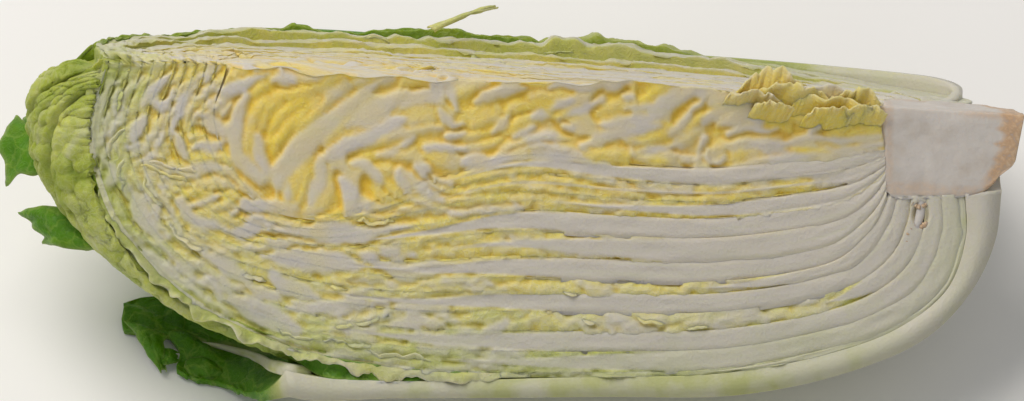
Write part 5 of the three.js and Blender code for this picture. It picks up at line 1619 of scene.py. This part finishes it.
def leaf_flesh():
    """Fresh cabbage leaf, cut with a knife: moist, so a soft gloss over a translucent body."""
    material = bpy.data.materials.new("fresh_cabbage_leaf")
    material.use_nodes = True
    tree = material.node_tree
    shader = tree.nodes["Principled BSDF"]
    rib_field, tone, painted_shade_field = (
        add(tree, "Attribute", {}, out="Fac", attribute_name=name) for name in FIELDS)
    flow = add(tree, "Attribute", {}, out="Vector", attribute_name="flow")
    metres = add(tree, "TexCoord", {}, out="Object")
    at = add(tree, "VectorMath", {0: metres, 1: PER_METRE}, operation="MULTIPLY")
    patch = add(tree, "TexNoise", {"Vector": at, "Scale": 1 / PATCH, "Detail": 3.0})
    mottle = add(tree, "TexNoise", {"Vector": at, "Scale": 1 / MOTTLE, "Detail": 2.0})
    shift = add(tree, "MapRange", {0: patch, 1: 0.3, 2: 0.7, 3: -0.08, 4: 0.08})
    toned = add(tree, "Math", {0: tone, 1: shift}, operation="ADD")
    half = add(tree, "Math", {0: toned, 1: 0.75}, operation="MULTIPLY")
    blade = add(tree, "ValToRGB", {0: half}, [
        (0.0, "#e7cc56"), (0.12, "#e1d068"), (0.28, "#d6d080"), (0.4, "#bdc46a"),
        (0.52, "#9eaa46"), (0.66, "#7b8f22"), (0.86, "#4f820a"), (1.0, "#3f7206")])
    rib = add(tree, "ValToRGB", {0: half}, [
        (0.0, "#cfc8bd"), (0.3, "#cdc8bc"), (0.47, "#c8c7ad"), (0.56, "#b9bc84"), (1.0, "#a0ad66")])
    # Fine greenish strands run along a rib.
    stretched = add(tree, "VectorMath", {0: flow, 1: STREAK_SCALE}, operation="MULTIPLY")
    streak = add(tree, "TexNoise", {"Vector": stretched, "Scale": 1.0, "Detail": 3.0})
    strand = add(tree, "MapRange", {0: streak, 1: 0.52, 2: 0.72, 3: 0.0, 4: 0.35})
    rib = add(tree, "Mix", {FACTOR: strand, COLOUR_A: rib, COLOUR_B: linear("#cfcfae")},
              out=MIXED, data_type="RGBA")
    # A net of pale veins shows on the green blades.
    warp = add(tree, "TexNoise", {"Vector": at, "Scale": 1 / VEIN_BENDS, "Detail": 2.0}, out="Color")
    warped = add(tree, "VectorMath", {0: warp, 1: VEIN_SWING, 2: at}, operation="MULTIPLY_ADD")
    net = add(tree, "TexVoronoi", {"Vector": warped, "Scale": 1 / VEIN_NET}, feature="DISTANCE_TO_EDGE")
    vein = add(tree, "MapRange", {0: net, 1: 0.0, 2: 0.07, 3: 1.0, 4: 0.0})
    green = add(tree, "MapRange", {0: toned, 1: 0.55, 2: 0.9, 3: 0.0, 4: 0.26})
    veined = add(tree, "Math", {0: vein, 1: green}, operation="MULTIPLY")
    blade = add(tree, "Mix", {FACTOR: veined, COLOUR_A: blade, COLOUR_B: linear("#a9bd5c")},
                out=MIXED, data_type="RGBA")
    spotted = add(tree, "MapRange", {0: mottle, 1: 0.35, 2: 0.65, 3: 0.0, 4: 0.3})
    blade = add(tree, "Mix", {FACTOR: spotted, COLOUR_A: blade, COLOUR_B: linear("#f6ecb4")},
                out=MIXED, data_type="RGBA", blend_type="SOFT_LIGHT")
    # Blades are crumpled finely, with pale crests, a painted highlight; ribs aren't.
    worn = add(tree, "TexNoise", {"Vector": at, "Scale": 1 / CRUMPLE, "Detail": 3.0, "Distortion": 1.2})
    centred = add(tree, "Math", {0: worn, 1: 0.5}, operation="SUBTRACT")
    distance = add(tree, "Math", {0: centred}, operation="ABSOLUTE")
    crest = add(tree, "MapRange", {0: distance, 1: 0.0, 2: 0.07, 3: 1.0, 4: 0.0})
    bladed = add(tree, "Math", {0: 1.0, 1: rib_field}, operation="SUBTRACT")
    frilled = add(tree, "MapRange", {0: tone, 1: 0.02, 2: 0.12, 3: 0.35, 4: 1.0})
    masked = add(tree, "Math", {0: bladed, 1: frilled}, operation="MULTIPLY")
    crumple = add(tree, "Math", {0: crest, 1: masked}, operation="MULTIPLY")
    painted_crest_highlight = add(tree, "Math", {0: crumple, 1: 0.55}, operation="MULTIPLY")
    pale = add(tree, "ValToRGB", {0: half}, [
        (0.0, "#e6dca6"), (0.3, "#dedcb4"), (0.6, "#a9b660"), (0.82, "#628f20")])
    blade = add(tree, "Mix", {FACTOR: painted_crest_highlight, COLOUR_A: blade, COLOUR_B: pale}, out=MIXED, data_type="RGBA")
    # Painted shade: between the blades, in the crevices, the colour turns a deeper yellow or green.
    base = add(tree, "Mix", {FACTOR: rib_field, COLOUR_A: blade, COLOUR_B: rib}, out=MIXED, data_type="RGBA")
    painted_shade_colour = add(tree, "ValToRGB", {0: half}, [
        (0.0, "#e6bc38"), (0.2, "#dcc044"), (0.4, "#b9b044"), (0.6, "#5f7d14"), (1.0, "#24500a")])
    painted_shade_and_browning = add(tree, "Math", {0: painted_shade_field, 1: 0.7}, operation="MULTIPLY")
    base = add(tree, "Mix", {FACTOR: painted_shade_and_browning, COLOUR_A: base, COLOUR_B: painted_shade_colour}, out=MIXED, data_type="RGBA")
    tree.links.new(base, shader.inputs["Base Color"])
    rough = add(tree, "MapRange", {0: patch, 1: 0.3, 2: 0.7, 3: 0.34, 4: 0.5})
    tree.links.new(rough, shader.inputs["Roughness"])
    shader.inputs["IOR"].default_value = 1.4
    shader.inputs["Specular IOR Level"].default_value = 0.36
    shader.inputs["Subsurface Weight"].default_value = 0.6
    shader.inputs["Subsurface Radius"].default_value = (0.9, 0.8, 0.45)
    shader.inputs["Subsurface Scale"].default_value = 0.0014
    grain = add(tree, "TexNoise", {"Vector": at, "Scale": 1 / GRAIN, "Detail": 3.0})
    folded = add(tree, "Math", {0: crumple, 1: 1.6, 2: grain}, operation="MULTIPLY_ADD")
    bump = add(tree, "Bump", {"Height": folded, "Strength": 0.35, "Distance": 0.0007})
    tree.links.new(bump, shader.inputs["Normal"])
    return material


# The core's patterns, in mm.
CORE_PATCH = 8.33
CORE_FIBRE = 1.25


def core_flesh():
    """The cut core: dense cream flesh that has browned where it dried, so it looks matt."""
    material = bpy.data.materials.new("cut_cabbage_core")
    material.use_nodes = True
    tree = material.node_tree
    shader = tree.nodes["Principled BSDF"]
    painted_shade_and_browning = add(tree, "Attribute", {}, out="Fac", attribute_name="painted_shade_and_browning")
    metres = add(tree, "TexCoord", {}, out="Object")
    at = add(tree, "VectorMath", {0: metres, 1: PER_METRE}, operation="MULTIPLY")
    patch = add(tree, "TexNoise", {"Vector": at, "Scale": 1 / CORE_PATCH, "Detail": 4.0})
    fine = add(tree, "TexNoise", {"Vector": at, "Scale": 1 / CORE_FIBRE, "Detail": 4.0})
    cream = add(tree, "ValToRGB", {0: patch}, [(0.3, "#d0cac3"), (0.55, "#cac3bb"), (0.75, "#c0b6aa")])
    brown = add(tree, "ValToRGB", {0: fine}, [(0.3, "#a8815c"), (0.5, "#c7a684"), (0.75, "#d6bd9f")])
    dried = add(tree, "Math", {0: painted_shade_and_browning, 1: fine}, operation="MULTIPLY")
    share = add(tree, "MapRange", {0: dried, 1: 0.08, 2: 0.5, 3: 0.0, 4: 1.0})
    base = add(tree, "Mix", {FACTOR: share, COLOUR_A: cream, COLOUR_B: brown}, out=MIXED, data_type="RGBA")
    tree.links.new(base, shader.inputs["Base Color"])
    shader.inputs["Roughness"].default_value = 0.45
    shader.inputs["IOR"].default_value = 1.4
    shader.inputs["Subsurface Weight"].default_value = 0.3
    shader.inputs["Subsurface Radius"].default_value = (0.9, 0.7, 0.5)
    shader.inputs["Subsurface Scale"].default_value = 0.004
    bump = add(tree, "Bump", {"Height": fine, "Strength": 0.3, "Distance": 0.0006})
    tree.links.new(bump, shader.inputs["Normal"])
    return material


# ---- Building the pieces -----------------------------------------------------

LEAF = leaf_flesh()
CORE = core_flesh()

FOLD_SEEDS = (7, 19)               # front and rear face
FRILL_SEED = 31
FRILL_SHARE = 0.2                  # of the folds that have a frill standing out of them

fleshes = {index: Flesh() for index in range(HEART, len(LEAVES))}
reliefs = [Relief(face, np.random.default_rng(seed)) for face, seed in enumerate(FOLD_SEEDS)]
for index in range(len(LEAVES)):
    leaf_body(fleshes[index], index, reliefs)
heart_bed(fleshes[HEART], reliefs)
for relief in reliefs:
    add_frills(fleshes, relief, np.random.default_rng(FRILL_SEED), FRILL_SHARE)
add_flaps(fleshes[WRAPPER], FLAPS, WRAPPER)
add_flaps(fleshes[UNDER_WRAPPER], TIP_FLAPS, UNDER_WRAPPER)
add_hem(fleshes[WRAPPER])
add_lobes(fleshes[WRAPPER], TIP_LOBES)
add_shred(fleshes[UNDER_WRAPPER])
add_tuft(fleshes[HEART])
fleshes[HEART].build("heart_leaves", LEAF, "heart", "heart_leaves")
for index, leaf in enumerate(LEAVES):
    slot = "wrapper_leaf" if index >= UNDER_WRAPPER else "pale_leaves"
    fleshes[index].build(leaf.name + "_blade", LEAF, leaf.name, slot)
loose = Flesh()
loose_body(loose)
add_loose_fill(loose)
add_loose_midrib(loose)
add_lobes(loose, LOOSE_LOBES)
loose.build("leaf_01_blade", LEAF, "leaf_01", "loose_leaf")
core = Flesh()
core_body(core)
core.build("core_flesh", CORE, "core", "core_flesh")

# ---- Floor and light ---------------------------------------------------------


def white_paper():
    """A sheet of white paper: matt, with a faint cloudiness a few centimetres wide."""
    material = bpy.data.materials.new("matt_white_paper")
    material.use_nodes = True
    tree = material.node_tree
    shader = tree.nodes["Principled BSDF"]
    cloud = add(tree, "TexNoise", {"Scale": 40.0})
    shade = add(tree, "ValToRGB", {0: cloud}, [(0.3, "#f4f3f1"), (0.7, "#f7f6f4")])
    tree.links.new(shade, shader.inputs["Base Color"])
    shader.inputs["Roughness"].default_value = 0.9
    return material


FLOOR_HALF = 3                     # metres


def make_floor():
    """The table that the piece lies on."""
    mesh = bpy.data.meshes.new("floor")
    corners = [(x * FLOOR_HALF, y * FLOOR_HALF, 0) for x, y in ((-1, -1), (1, -1), (1, 1), (-1, 1))]
    mesh.from_pydata(corners, [], [(0, 1, 2, 3)])
    mesh.materials.append(white_paper())
    floor = bpy.data.objects.new("floor", mesh)
    bpy.context.scene.collection.objects.link(floor)


HEAD_AT = (0, 0, 0.05)             # the spot that the lights face


def area_light(name, location, size, power, colour):
    data = bpy.data.lights.new(name, "AREA")
    data.shape = "SQUARE"
    data.size = size
    data.energy = power
    data.color = linear(colour)[:3]
    light = bpy.data.objects.new(name, data)
    light.location = location
    light.rotation_mode = "QUATERNION"
    light.rotation_quaternion = (Vector(HEAD_AT) - Vector(location)).to_track_quat("-Z", "Y")
    bpy.context.scene.collection.objects.link(light)


make_floor()
area_light("overhead_softbox", (-0.5, 0.2, 1.25), 0.9, 13.5, "#fffaf4")
area_light("front_fill", (0.1, -1.3, 0.9), 1.2, 1.4, "#f4f7ff")
world = bpy.data.worlds.new("studio")
world.use_nodes = True
sky = world.node_tree.nodes["Background"]
sky.inputs["Color"].default_value = linear("#f1f2f3")
sky.inputs["Strength"].default_value = 0.36
bpy.context.scene.world = world
bpy.context.scene.view_settings.view_transform = "Standard"
